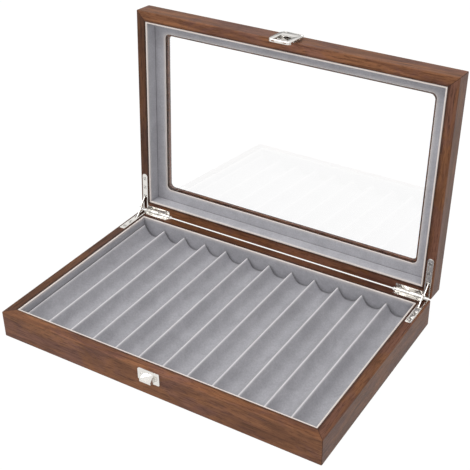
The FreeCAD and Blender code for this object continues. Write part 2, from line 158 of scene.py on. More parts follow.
class Wiring:
    """Adds nodes to one tree and joins their sockets."""

    def __init__(self, tree: bpy.types.NodeTree) -> None:
        """Keeps the tree that the nodes go into.

        Args:
            tree: Shader or geometry tree.
        """
        self.tree = tree

    def add(self, kind: str, **settings: object) -> bpy.types.Node:
        """Adds a node.

        Args:
            kind: Type name of the node.
            **settings: Properties set on it.

        Returns:
            The node.
        """
        node = self.tree.nodes.new(kind)
        for name, value in settings.items():
            setattr(node, name, value)
        return node

    def feed(self, target: bpy.types.NodeSocket, value: Value) -> None:
        """Joins a socket to an input, or sets a constant on it.

        Args:
            target: The input.
            value: An output socket or a plain value.
        """
        if isinstance(value, bpy.types.NodeSocket):
            self.tree.links.new(value, target)
        else:
            target.default_value = value

    def math(self, operation: str, *values: Value, clamp: bool = False) -> bpy.types.NodeSocket:
        """Adds a Math node.

        Args:
            operation: Name of the operation.
            *values: Its inputs in order.
            clamp: Keeps the result between 0 and 1.

        Returns:
            The result.
        """
        node = self.add("ShaderNodeMath", operation=operation, use_clamp=clamp)
        for target, value in zip(node.inputs, values):
            self.feed(target, value)
        return node.outputs[0]

    def vector_math(self, operation: str, *values: Value) -> bpy.types.NodeSocket:
        """Adds a Vector Math node and returns its vector.

        Args:
            operation: Name of the operation.
            *values: Its vector inputs in order.

        Returns:
            The resulting vector.
        """
        node = self.add("ShaderNodeVectorMath", operation=operation)
        for target, value in zip(node.inputs, values):
            self.feed(target, value)
        return node.outputs[0]

    def ramp(self, value: Value, low: float, high: float, start: float = 0.0,
             end: float = 1.0) -> bpy.types.NodeSocket:
        """Maps a value smoothly from one range to another.

        Args:
            value: The value.
            low: Where the change starts.
            high: Where it ends.
            start: Result below low.
            end: Result above high.

        Returns:
            The mapped value.
        """
        node = self.add("ShaderNodeMapRange", interpolation_type="SMOOTHSTEP")
        for index, part in enumerate((value, low, high, start, end)):
            self.feed(node.inputs[index], part)
        return node.outputs[0]

    def mix(self, share: Value, first: Value, second: Value,
            blend: str = "MIX") -> bpy.types.NodeSocket:
        """Mixes two colours.

        Args:
            share: Share of the second colour.
            first: First colour.
            second: Second colour.
            blend: Way of mixing.

        Returns:
            The mixed colour.
        """
        node = self.add("ShaderNodeMix", data_type="RGBA", blend_type=blend)
        self.feed(node.inputs[0], share)
        self.feed(node.inputs[6], first)
        self.feed(node.inputs[7], second)
        return node.outputs[2]

    def noise(self, place: Value, scale: tuple[float, float, float], detail: float = 2.0,
              roughness: float = 0.5, distortion: float = 0.0) -> bpy.types.NodeSocket:
        """Adds a noise pattern stretched by three scales.

        Args:
            place: Coordinates in metres.
            scale: Waves per metre along each axis.
            detail: Octaves.
            roughness: Strength of the finer octaves.
            distortion: How far the pattern folds over itself.

        Returns:
            The pattern, 0 to 1.
        """
        node = self.add("ShaderNodeTexNoise")
        self.feed(node.inputs["Vector"], self.vector_math("MULTIPLY", place, scale))
        self.feed(node.inputs["Scale"], 1.0)
        self.feed(node.inputs["Detail"], detail)
        self.feed(node.inputs["Roughness"], roughness)
        self.feed(node.inputs["Distortion"], distortion)
        return node.outputs["Fac"]

    def group(self, tree: bpy.types.NodeTree, values: dict[str, Value]) -> bpy.types.Node:
        """Places a shared group with its own values.

        Args:
            tree: The group.
            values: Inputs by name.

        Returns:
            The group node.
        """
        node = self.add("ShaderNodeGroup", node_tree=tree)
        for name, value in values.items():
            self.feed(node.inputs[name], value)
        return node


class GroupBuilder:
    """Base of the shared shader groups: makes the tree with its named sockets once."""

    title = "group"
    inputs: tuple[tuple[str, str], ...] = ()
    outputs: tuple[tuple[str, str], ...] = ()
    made: dict[str, bpy.types.NodeTree] = {}

    def tree(self) -> bpy.types.NodeTree:
        """Returns the group's tree, and builds it the first time."""
        if self.title not in GroupBuilder.made:
            tree = bpy.data.node_groups.new(self.title, "ShaderNodeTree")
            for name, kind in self.inputs:
                tree.interface.new_socket(name=name, in_out="INPUT", socket_type=f"NodeSocket{kind}")
            for name, kind in self.outputs:
                tree.interface.new_socket(name=name, in_out="OUTPUT", socket_type=f"NodeSocket{kind}")
            wiring = Wiring(tree)
            given = wiring.add("NodeGroupInput").outputs
            results = self.wire(wiring, given)
            out = wiring.add("NodeGroupOutput")
            for name, socket in results.items():
                wiring.feed(out.inputs[name], socket)
            GroupBuilder.made[self.title] = tree
        return GroupBuilder.made[self.title]

    def wire(self, wiring: Wiring, given: bpy.types.bpy_prop_collection) -> dict[str, bpy.types.NodeSocket]:
        """Builds the inside of the group.

        Args:
            wiring: Wiring of the group's tree.
            given: The group's inputs.

        Returns:
            Output sockets by name.
        """
        raise NotImplementedError


class RailFrame(GroupBuilder):
    """Sets coordinates along each mitred rail, marks its joints and arrises, and gives each rail a tone that is
    partly its wood's own and partly painted shade: each side lighter or darker by how the light falls on it, the
    outer faces darker, and a darker band along the foot.
    """

    title = "rail frame"
    inputs = (("Place", "Vector"), ("Half Width", "Float"), ("Half Depth", "Float"), ("Wall", "Float"),
              ("Low", "Float"), ("High", "Float"), ("Arris", "Float"), ("Front", "Float"), ("Back", "Float"),
              ("Left", "Float"), ("Right", "Float"), ("Outer", "Float"), ("Foot", "Float"))
    outputs = (("Along", "Vector"), ("Mitre", "Float"), ("Worn", "Float"), ("Inner Line", "Float"),
               ("Tone", "Float"))

    def wire(self, wiring: Wiring, given: bpy.types.bpy_prop_collection) -> dict[str, bpy.types.NodeSocket]:
        """Builds the coordinates and the masks.

        Args:
            wiring: Wiring of the group's tree.
            given: The group's inputs.

        Returns:
            Output sockets by name.
        """
        m = wiring.math
        parts = wiring.add("ShaderNodeSeparateXYZ")
        wiring.feed(parts.inputs[0], given["Place"])
        x, y, z = parts.outputs
        from_side = m("SUBTRACT", given["Half Width"], m("ABSOLUTE", x))
        from_end = m("SUBTRACT", given["Half Depth"], m("ABSOLUTE", y))
        is_side = m("LESS_THAN", from_side, from_end)
        is_front = m("SUBTRACT", 1.0, is_side)
        along = m("ADD", m("MULTIPLY", x, is_front), m("MULTIPLY", y, is_side))
        across = m("ADD", m("MULTIPLY", y, is_front), m("MULTIPLY", x, is_side))
        own = m("ADD", m("MULTIPLY", m("SIGN", across), 0.71), m("MULTIPLY", is_side, 1.37))
        joined = wiring.add("ShaderNodeCombineXYZ")
        wiring.feed(joined.inputs[0], m("ADD", along, own))
        wiring.feed(joined.inputs[1], m("ADD", across, own))
        wiring.feed(joined.inputs[2], m("ADD", z, own))
        apart = m("ABSOLUTE", m("SUBTRACT", from_side, from_end))
        mitre = wiring.ramp(apart, 0.0001, 0.0005, 1.0, 0.0)
        outside = m("MINIMUM", from_side, from_end)
        from_rim = m("MINIMUM", m("SUBTRACT", z, given["Low"]), m("SUBTRACT", given["High"], z))
        long_edge = m("MAXIMUM", outside, from_rim)
        corner = m("MAXIMUM", from_side, from_end)
        nearest = m("DIVIDE", m("MINIMUM", long_edge, corner), given["Arris"])
        worn = wiring.ramp(nearest, 0.35, 1.25, 1.0, 0.0)
        from_inside = m("ABSOLUTE", m("SUBTRACT", given["Wall"], outside))
        inner = m("MULTIPLY", wiring.ramp(from_inside, 0.0002, 0.0030, 1.0, 0.0),
                  wiring.ramp(from_rim, 0.0004, 0.0012, 1.0, 0.0))
        # Tone: a level for each side, partly the wood's own and partly painted light and shade by how the light falls
        # on that side, times painted shade on the outer faces and along the foot.
        side_tone = self.chosen(wiring, m("GREATER_THAN", x, 0.0), given["Left"], given["Right"])
        end_tone = self.chosen(wiring, m("GREATER_THAN", y, 0.0), given["Front"], given["Back"])
        plain = self.chosen(wiring, is_side, end_tone, side_tone)
        outer = wiring.ramp(outside, 0.0001, 0.0006, given["Outer"], 1.0)
        foot = wiring.ramp(m("SUBTRACT", z, given["Low"]), 0.0004, 0.0013, given["Foot"], 1.0)
        return {"Along": joined.outputs[0], "Mitre": mitre, "Worn": worn, "Inner Line": inner,
                "Tone": m("MULTIPLY", m("MULTIPLY", plain, outer), foot)}

    @staticmethod
    def chosen(wiring: Wiring, switch: Value, first: Value, second: Value) -> bpy.types.NodeSocket:
        """Returns the first value where the switch is 0 and the second where it is 1."""
        return wiring.math("MULTIPLY_ADD", switch, wiring.math("SUBTRACT", second, first), first)


class OpeningEdge(GroupBuilder):
    """Marks the walls of the window opening, which get painted light, and the dark line along their outer arris."""

    title = "window opening edge"
    inputs = (("Place", "Vector"), ("Half Width", "Float"), ("Half Depth", "Float"), ("Top", "Float"))
    outputs = (("Line", "Float"), ("Tone", "Float"))

    def wire(self, wiring: Wiring, given: bpy.types.bpy_prop_collection) -> dict[str, bpy.types.NodeSocket]:
        """Builds the two masks.

        Args:
            wiring: Wiring of the group's tree.
            given: The group's inputs.

        Returns:
            Output sockets by name.
        """
        m = wiring.math
        parts = wiring.add("ShaderNodeSeparateXYZ")
        wiring.feed(parts.inputs[0], given["Place"])
        x, y, z = parts.outputs
        from_side = m("SUBTRACT", m("ABSOLUTE", x), given["Half Width"])
        from_end = m("SUBTRACT", m("ABSOLUTE", y), given["Half Depth"])
        near = wiring.ramp(m("MAXIMUM", from_side, from_end), 0.0002, 0.0012, 1.0, 0.0)
        deep = m("SUBTRACT", given["Top"], z)
        line = m("MULTIPLY", near, wiring.ramp(deep, 0.0006, 0.0014, 0.85, 0.0))
        # Painted light: the walls of the opening are made half again as light, standing in for the light that falls
        # on them.
        return {"Line": line, "Tone": m("MULTIPLY_ADD", near, 0.5, 1.0)}


class Grain(GroupBuilder):
    """Straight hardwood grain with broad figure, darker streaks and short pores along X."""

    title = "hardwood grain"
    inputs = (("Along", "Vector"), ("Light", "Color"), ("Middle", "Color"), ("Dark", "Color"))
    outputs = (("Colour", "Color"), ("Height", "Float"), ("Dull", "Float"))

    def wire(self, wiring: Wiring, given: bpy.types.bpy_prop_collection) -> dict[str, bpy.types.NodeSocket]:
        """Builds the figure, the streaks and the pores.

        Args:
            wiring: Wiring of the group's tree.
            given: The group's inputs.

        Returns:
            Output sockets by name.
        """
        m = wiring.math
        wander = wiring.noise(given["Along"], (7, 26, 26), 2)
        bend = wiring.add("ShaderNodeCombineXYZ")
        shift = m("MULTIPLY", m("SUBTRACT", wander, 0.5), 0.007)
        wiring.feed(bend.inputs[1], shift)
        wiring.feed(bend.inputs[2], shift)
        place = wiring.vector_math("ADD", given["Along"], bend.outputs[0])
        figure = wiring.noise(place, (16, 95, 95), 4, 0.6, 0.6)
        streak = wiring.noise(place, (26, 520, 520), 5, 0.66)
        fleck = wiring.noise(place, (95, 900, 900), 3, 0.65)
        pore = wiring.noise(place, (170, 2900, 2900), 2, 0.5)
        mottle = wiring.noise(given["Along"], (17, 42, 42), 4, 0.65, 0.8)
        colour = wiring.mix(wiring.ramp(figure, 0.34, 0.66), given["Middle"], given["Light"])
        colour = wiring.mix(m("MULTIPLY", wiring.ramp(streak, 0.50, 0.68), 0.6), colour, given["Dark"])
        colour = wiring.mix(m("MULTIPLY", wiring.ramp(fleck, 0.52, 0.64), 0.55), colour, given["Dark"])
        golden = wiring.mix(1.0, colour, (1.10, 1.06, 0.86, 1.0), "MULTIPLY")
        purple = wiring.mix(1.0, colour, (0.94, 0.95, 1.10, 1.0), "MULTIPLY")
        colour = wiring.mix(wiring.ramp(mottle, 0.42, 0.58), purple, golden)
        holes = wiring.ramp(pore, 0.60, 0.70)
        colour = wiring.mix(m("MULTIPLY", holes, 0.5), colour, given["Dark"])
        height = m("SUBTRACT", m("MULTIPLY", streak, 0.35), m("MULTIPLY", holes, 0.8))
        dull = m("ADD", m("MULTIPLY", streak, 0.5), m("MULTIPLY", holes, 0.5))
        return {"Colour": colour, "Height": height, "Dull": dull}


class Pile(GroupBuilder):
    """Short cloth pile: brushed marks, fine fibres, a painted sheen highlight where the cloth folds over an edge, and
    painted shade in its joints.
    """

    title = "cloth pile"
    inputs = (("Place", "Vector"), ("Shade", "Color"), ("Tone", "Color"), ("Bright", "Color"),
              ("Hollow", "Color"), ("Bent", "Float"), ("Deep", "Float"), ("Speckle", "Float"))
    outputs = (("Colour", "Color"), ("Height", "Float"))

    def wire(self, wiring: Wiring, given: bpy.types.bpy_prop_collection) -> dict[str, bpy.types.NodeSocket]:
        """Builds the nap, the fibres, the painted sheen on folded edges and the painted shade in joints.

        Args:
            wiring: Wiring of the group's tree.
            given: The group's inputs.

        Returns:
            Output sockets by name.
        """
        m = wiring.math
        nap = wiring.noise(given["Place"], (55, 38, 55), 4, 0.6, 0.5)
        fibre = wiring.noise(given["Place"], (1500, 1100, 1500), 2, 0.7)
        tuft = wiring.noise(given["Place"], (640, 520, 640), 2, 0.6)
        colour = wiring.mix(wiring.ramp(nap, 0.3, 0.7), given["Shade"], given["Tone"])
        grit = m("ADD", m("MULTIPLY", m("SUBTRACT", fibre, 0.5), 0.8), m("SUBTRACT", tuft, 0.5))
        level = m("ADD", 1.0, m("MULTIPLY", grit, given["Speckle"]))
        scaled = wiring.add("ShaderNodeVectorMath", operation="SCALE")
        wiring.feed(scaled.inputs[0], colour)
        wiring.feed(scaled.inputs["Scale"], level)
        # Painted highlight: folded edges and ridge crests take a pale sheen colour in place of the light they catch.
        colour = wiring.mix(given["Bent"], scaled.outputs[0], given["Bright"])
        # Painted shade: the joints that the piece marks take a dark colour.
        colour = wiring.mix(m("MULTIPLY", given["Deep"], 0.8), colour, given["Hollow"])
        return {"Colour": colour, "Height": m("ADD", fibre, m("MULTIPLY", tuft, 0.6))}


class Handling(GroupBuilder):
    """Fine scratches and faint smudges on plated metal."""

    title = "handled plating"
    inputs = (("Place", "Vector"), ("Smooth", "Float"), ("Dull", "Float"))
    outputs = (("Roughness", "Float"), ("Height", "Float"))

    def wire(self, wiring: Wiring, given: bpy.types.bpy_prop_collection) -> dict[str, bpy.types.NodeSocket]:
        """Builds the smudges and the scratches.

        Args:
            wiring: Wiring of the group's tree.
            given: The group's inputs.

        Returns:
            Output sockets by name.
        """
        m = wiring.math
        smudge = wiring.noise(given["Place"], (260, 260, 260), 3, 0.6)
        hair = wiring.noise(given["Place"], (500, 6500, 900), 2, 0.6, 0.3)
        share = wiring.ramp(smudge, 0.4, 0.7)
        spread = m("MULTIPLY", m("SUBTRACT", given["Dull"], given["Smooth"]), share)
        return {"Roughness": m("ADD", given["Smooth"], spread), "Height": m("MULTIPLY", hair, 0.5)}


class Finish:
    """Base of the finishes: makes a material whose Principled shader the finish then wires."""

    title = "finish"
    slot = Slot.WALNUT

    def begin(self, suffix: str = "") -> tuple[bpy.types.Material, Wiring, bpy.types.Node, bpy.types.NodeSocket]:
        """Makes the material with its Principled shader and Object coordinates.

        Args:
            suffix: Added to the material's name.

        Returns:
            The material, its wiring, the shader and the coordinates.
        """
        material = bpy.data.materials.new(self.title + suffix)
        material.use_nodes = True
        wiring = Wiring(material.node_tree)
        shader = material.node_tree.nodes["Principled BSDF"]
        place = wiring.add("ShaderNodeTexCoord").outputs["Object"]
        return material, wiring, shader, place

    @staticmethod
    def bump(wiring: Wiring, shader: bpy.types.Node, height: bpy.types.NodeSocket, depth: float,
             strength: float = 1.0) -> None:
        """Gives the shader a bump from a height.

        Args:
            wiring: Wiring of the material.
            shader: The Principled shader.
            height: Height, 0 to 1.
            depth: Depth of the relief in metres.
            strength: Strength of the effect.
        """
        node = wiring.add("ShaderNodeBump")
        wiring.feed(node.inputs["Strength"], strength)
        wiring.feed(node.inputs["Distance"], depth)
        wiring.feed(node.inputs["Height"], height)
        wiring.feed(shader.inputs["Normal"], node.outputs["Normal"])


@dataclass(frozen=True)
class Walnut(Finish):
    """Satin-lacquered walnut, with the grain along each rail."""

    title: str = "walnut"
    light: Colour = (136, 92, 68)
    middle: Colour = (108, 71, 53)
    dark: Colour = (66, 40, 30)
    worn: Colour = (150, 108, 84)
    line: Colour = (34, 21, 16)
    window: tuple[float, float] = (0.1440, 0.0850)
    roughness: float = 0.40
    # Front, back, left and right levels are partly the wood's own and partly painted light and shade by side; the
    # outer level is painted shade on the outer faces, the last is painted shade along the foot.
    base_tones_and_shade: tuple[float, ...] = (1.10, 0.64, 0.58, 0.80, 0.90, 0.62)
    lid_tones_and_shade: tuple[float, ...] = (1.18, 1.02, 0.55, 0.88, 0.84, 1.0)
    case: Case = Case()

    def rails(self, half: Half) -> bpy.types.Material:
        """Makes the finish of the four rails of one half.

        Args:
            half: Base or lid.

        Returns:
            The material.
        """
        material, wiring, shader, place = self.begin(f" {half.value} rails")
        case = self.case
        if half is Half.LID:
            place = self.shut(wiring, place)
        low, high = (0.0, case.base_height) if half is Half.BASE else (case.lid_rim, case.lid_top)
        tones_and_shade = self.base_tones_and_shade if half is Half.BASE else self.lid_tones_and_shade
        rail = wiring.group(RailFrame().tree(), {
            "Place": place, "Half Width": case.half_width, "Half Depth": case.half_depth,
            "Wall": case.wall, "Low": low, "High": high, "Arris": case.arris,
            **dict(zip(("Front", "Back", "Left", "Right", "Outer", "Foot"), tones_and_shade)),
        })
        self.wire(wiring, shader, rail.outputs["Along"], rail)
        return material

    def panel(self) -> bpy.types.Material:
        """Makes the finish of the lid's top panel, whose grain runs from left to right."""
        material, wiring, shader, place = self.begin(" top panel")
        shut = self.shut(wiring, place)
        edge = wiring.group(OpeningEdge().tree(), {
            "Place": shut, "Half Width": self.window[0], "Half Depth": self.window[1], "Top": self.case.lid_top,
        })
        self.wire(wiring, shader, shut, None, edge)
        return material

    def shut(self, wiring: Wiring, place: bpy.types.NodeSocket) -> bpy.types.NodeSocket:
        """Turns coordinates on the open lid back to the shut one.

        Args:
            wiring: Wiring of the material.
            place: Object coordinates.

        Returns:
            Coordinates on the shut lid.
        """
        back = self.case.opening().inverted()
        mapping = wiring.add("ShaderNodeMapping")
        mapping.inputs["Location"].default_value = back.to_translation()
        mapping.inputs["Rotation"].default_value = back.to_euler()
        wiring.feed(mapping.inputs["Vector"], place)
        return mapping.outputs[0]

    def wire(self, wiring: Wiring, shader: bpy.types.Node, along: bpy.types.NodeSocket,
             rail: Optional[bpy.types.Node], edge: Optional[bpy.types.Node] = None) -> None:
        """Wires the grain, on a rail its tone with painted shade, its joints and worn edges, and on the panel the
        painted light on the opening's walls and their dark line, to the shader.

        Args:
            wiring: Wiring of the material.
            shader: The Principled shader.
            along: Coordinates with X along the grain.
            rail: The rail frame group, or None on the panel.
            edge: The opening edge group, or None on a rail.
        """
        grain = wiring.group(Grain().tree(), {
            "Along": along, "Light": linear(*self.light), "Middle": linear(*self.middle),
            "Dark": linear(*self.dark),
        })
        colour = grain.outputs["Colour"]
        if rail:
            # Painted shade: the rail's tone lightens or darkens each side by how the light falls on it, and darkens
            # its outer faces and its foot.
            scaled = wiring.add("ShaderNodeVectorMath", operation="SCALE")
            wiring.feed(scaled.inputs[0], colour)
            wiring.feed(scaled.inputs["Scale"], rail.outputs["Tone"])
            worn = wiring.math("MULTIPLY", rail.outputs["Worn"], 0.16)
            colour = wiring.mix(worn, scaled.outputs[0], linear(*self.worn))
            for name, share in (("Mitre", 0.75), ("Inner Line", 0.6)):
                line = wiring.math("MULTIPLY", rail.outputs[name], share)
                colour = wiring.mix(line, colour, linear(*self.line))
        if edge:
            # Painted light on the walls of the opening, then the dark line along their arris.
            scaled = wiring.add("ShaderNodeVectorMath", operation="SCALE")
            wiring.feed(scaled.inputs[0], colour)
            wiring.feed(scaled.inputs["Scale"], edge.outputs["Tone"])
            colour = wiring.mix(edge.outputs["Line"], scaled.outputs[0], linear(*self.line))
        wiring.feed(shader.inputs["Base Color"], colour)
        dull = wiring.math("MULTIPLY", grain.outputs["Dull"], 0.18)
        wiring.feed(shader.inputs["Roughness"], wiring.math("ADD", dull, self.roughness))
        shader.inputs["Coat Weight"].default_value = 0.04
        shader.inputs["Coat Roughness"].default_value = 0.22
        shader.inputs["Specular IOR Level"].default_value = 0.14
        self.bump(wiring, shader, grain.outputs["Height"], 0.00006, 0.5)


@dataclass(frozen=True)
class Cloth(Finish):
    """Cloth with a short pile, with a painted sheen highlight where it folds over an edge and painted shade in its
    joints.
    """

    title: str = "grey velvet"
    shade: Colour = (165, 164, 169)
    tone: Colour = (178, 177, 182)
    # Colour of the painted sheen highlight on folded edges and crests.
    bright: Colour = (230, 227, 229)
    # Colour of the painted shade in the joints.
    hollow: Colour = (84, 81, 84)
    speckle: float = 0.42
    sheen: float = 0.25
    depth: float = 0.00012
    roughness: float = 0.92

    def material(self) -> bpy.types.Material:
        """Makes the finish. It reads the piece's attributes for its folded edges, where a sheen highlight is painted,
        and for its joints, where shade is painted.
        """
        material, wiring, shader, place = self.begin()
        bent = wiring.add("ShaderNodeAttribute", attribute_name="bent").outputs["Fac"]
        # Mask of the joints where shade is painted.
        deep = wiring.add("ShaderNodeAttribute", attribute_name="deep").outputs["Fac"]
        pile = wiring.group(Pile().tree(), {
            "Place": place, "Shade": linear(*self.shade), "Tone": linear(*self.tone),
            "Bright": linear(*self.bright), "Hollow": linear(*self.hollow),
            "Bent": bent, "Deep": deep, "Speckle": self.speckle,
        })
        wiring.feed(shader.inputs["Base Color"], pile.outputs["Colour"])
        shader.inputs["Roughness"].default_value = self.roughness
        shader.inputs["Specular IOR Level"].default_value = 0.15
        shader.inputs["Sheen Weight"].default_value = self.sheen
        shader.inputs["Sheen Roughness"].default_value = 0.45
        self.bump(wiring, shader, pile.outputs["Height"], self.depth, 0.5)
        return material


@dataclass(frozen=True)
class Plating(Finish):
    """Bright nickel plating on stamped steel."""

    title: str = "bright nickel"
    colour: Colour = (226, 223, 218)
    # Colour of the painted shade in the heads' recesses.
    recess_shade_colour: Colour = (92, 86, 80)
    smooth: float = 0.13
    dull: float = 0.26

    def material(self) -> bpy.types.Material:
        """Makes the finish, with painted shade in the recesses of the fastener heads."""
        material, wiring, shader, place = self.begin()
        wear = wiring.group(Handling().tree(), {"Place": place, "Smooth": self.smooth, "Dull": self.dull})
        # Painted shade: the heads' recessed points take a dark colour and a rougher finish.
        recess_shade = wiring.add("ShaderNodeAttribute", attribute_name="recess_shade").outputs["Fac"]
        colour = wiring.mix(recess_shade, linear(*self.colour), linear(*self.recess_shade_colour))
        wiring.feed(shader.inputs["Base Color"], colour)
        shader.inputs["Metallic"].default_value = 1.0
        wiring.feed(shader.inputs["Roughness"], wiring.math("MULTIPLY_ADD", recess_shade, 0.4, wear.outputs["Roughness"]))
        self.bump(wiring, shader, wear.outputs["Height"], 0.000002, 0.4)
        return material


@dataclass(frozen=True)
class Board(Finish):
    """Thin brown fibreboard under the tray."""

    title: str = "fibreboard"
    colour: Colour = (112, 84, 62)
    fleck: Colour = (72, 52, 38)

    def material(self) -> bpy.types.Material:
        """Makes the finish."""
        material, wiring, shader, place = self.begin()
        flecks = wiring.noise(place, (900, 900, 900), 3, 0.7)
        colour = wiring.mix(wiring.ramp(flecks, 0.5, 0.7), linear(*self.colour), linear(*self.fleck))
        wiring.feed(shader.inputs["Base Color"], colour)
        shader.inputs["Roughness"].default_value = 0.7
        self.bump(wiring, shader, flecks, 0.00008, 0.5)
        return material


@dataclass(frozen=True)
class WindowGlass(Finish):
    """Clear glass."""

    title: str = "window glass"
    ior: float = 1.5

    def material(self) -> bpy.types.Material:
        """Makes the finish, with the least unevenness of drawn glass."""
        material, wiring, shader, place = self.begin()
        shader.inputs["Base Color"].default_value = (1.0, 1.0, 1.0, 1.0)
        shader.inputs["Roughness"].default_value = 0.0
        shader.inputs["IOR"].default_value = self.ior
        shader.inputs["Transmission Weight"].default_value = 1.0
        return material


class Workshop:
    """Turns meshes into finished pieces that ride on their bodies."""

    def __init__(self, case: Case) -> None:
        """Keeps the case's sizes.

        Args:
            case: Sizes of the case.
        """
        self.case = case

    def piece(self, name: str, mesh: bpy.types.Mesh, material: bpy.types.Material, slot: Slot,
              body: str) -> bpy.types.Object:
        """Makes a piece at the origin that rides on a body.

        Args:
            name: Name of the piece.
            mesh: Its mesh, in the frame of the whole object.
            material: Its finish.
            slot: The record's material slot; not used.
            body: Name of the body.

        Returns:
            The piece.
        """
        mesh.materials.clear()
        mesh.materials.append(material)
        piece = bpy.data.objects.new(name, mesh)
        bpy.context.scene.collection.objects.link(piece)
        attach(piece, body)
        return piece

    @staticmethod
    def body_of(node: str) -> str:
        """Returns the name of the body that a node of the frame rides on."""
        return frame["nodes"][node]["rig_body"]

    @staticmethod
    def mesh_from(name: str, build: bmesh.types.BMesh, sharp_above: float = 35.0) -> bpy.types.Mesh:
        """Turns built faces into a mesh with outward faces and smooth shading.

        Args:
            name: Name of the mesh.
            build: The faces; freed here.
            sharp_above: Angle in degrees above which an edge stays sharp.

        Returns:
            The mesh.
        """
        bmesh.ops.recalc_face_normals(build, faces=build.faces)
        limit = math.radians(sharp_above)
        for face in build.faces:
            face.smooth = True
        for edge in build.edges:
            edge.smooth = len(edge.link_faces) == 2 and edge.calc_face_angle(0.0) < limit
        mesh = bpy.data.meshes.new(name)
        build.to_mesh(mesh)
        build.free()
        return mesh

    @staticmethod
    def baked(holder: bpy.types.Object, name: str) -> bpy.types.Mesh:
        """Turns an object and its modifiers into a plain mesh, and removes the object.

        Args:
            holder: Object with the modifiers.
            name: Name of the new mesh.

        Returns:
            The plain mesh.
        """
        bpy.context.view_layer.update()
        seen = holder.evaluated_get(bpy.context.evaluated_depsgraph_get())
        mesh = bpy.data.meshes.new_from_object(seen)
        mesh.name = name
        bpy.data.objects.remove(holder)
        return mesh


class ShapeTree:
    """Base of the Geometry Nodes trees: makes named inputs and runs the tree into a plain mesh."""

    title = "tree"
    inputs: tuple[tuple[str, str], ...] = ()

    def __init__(self) -> None:
        """Builds the tree with its named inputs."""
        self.tree = bpy.data.node_groups.new(self.title, "GeometryNodeTree")
        self.tree.interface.new_socket(name="Geometry", in_out="INPUT", socket_type="NodeSocketGeometry")
        for name, kind in self.inputs:
            self.tree.interface.new_socket(name=name, in_out="INPUT", socket_type=f"NodeSocket{kind}")
        self.tree.interface.new_socket(name="Geometry", in_out="OUTPUT", socket_type="NodeSocketGeometry")
        wiring = Wiring(self.tree)
        given = wiring.add("NodeGroupInput").outputs
        shape = self.wire(wiring, given)
        real = wiring.add("GeometryNodeRealizeInstances")
        dressed = wiring.add("GeometryNodeSetMaterial")
        wiring.feed(real.inputs[0], shape)
        wiring.feed(dressed.inputs["Geometry"], real.outputs[0])
        wiring.feed(dressed.inputs["Material"], given["Material"])
        wiring.feed(wiring.add("NodeGroupOutput").inputs[0], dressed.outputs[0])

    def wire(self, wiring: Wiring, given: bpy.types.bpy_prop_collection) -> bpy.types.NodeSocket:
        """Builds the inside of the tree.

        Args:
            wiring: Wiring of the tree.
            given: The tree's inputs.

        Returns:
            The geometry before its instances are made real.
        """
        raise NotImplementedError

    def run(self, name: str, start: bpy.types.Mesh, values: dict[str, object]) -> bpy.types.Mesh:
        """Runs the tree on a mesh and returns the result as a plain mesh.

        Args:
            name: Name of the new mesh.
            start: The mesh that the tree is given.
            values: Inputs by name.

        Returns:
            The plain mesh.
        """
        holder = bpy.data.objects.new(name + "_holder", start)
        bpy.context.scene.collection.objects.link(holder)
        modifier = holder.modifiers.new("shape", "NODES")
        modifier.node_group = self.tree
        for item in self.tree.interface.items_tree:
            if item.item_type == "SOCKET" and item.in_out == "INPUT" and item.name in values:
                modifier[item.identifier] = values[item.name]
        return Workshop.baked(holder, name)


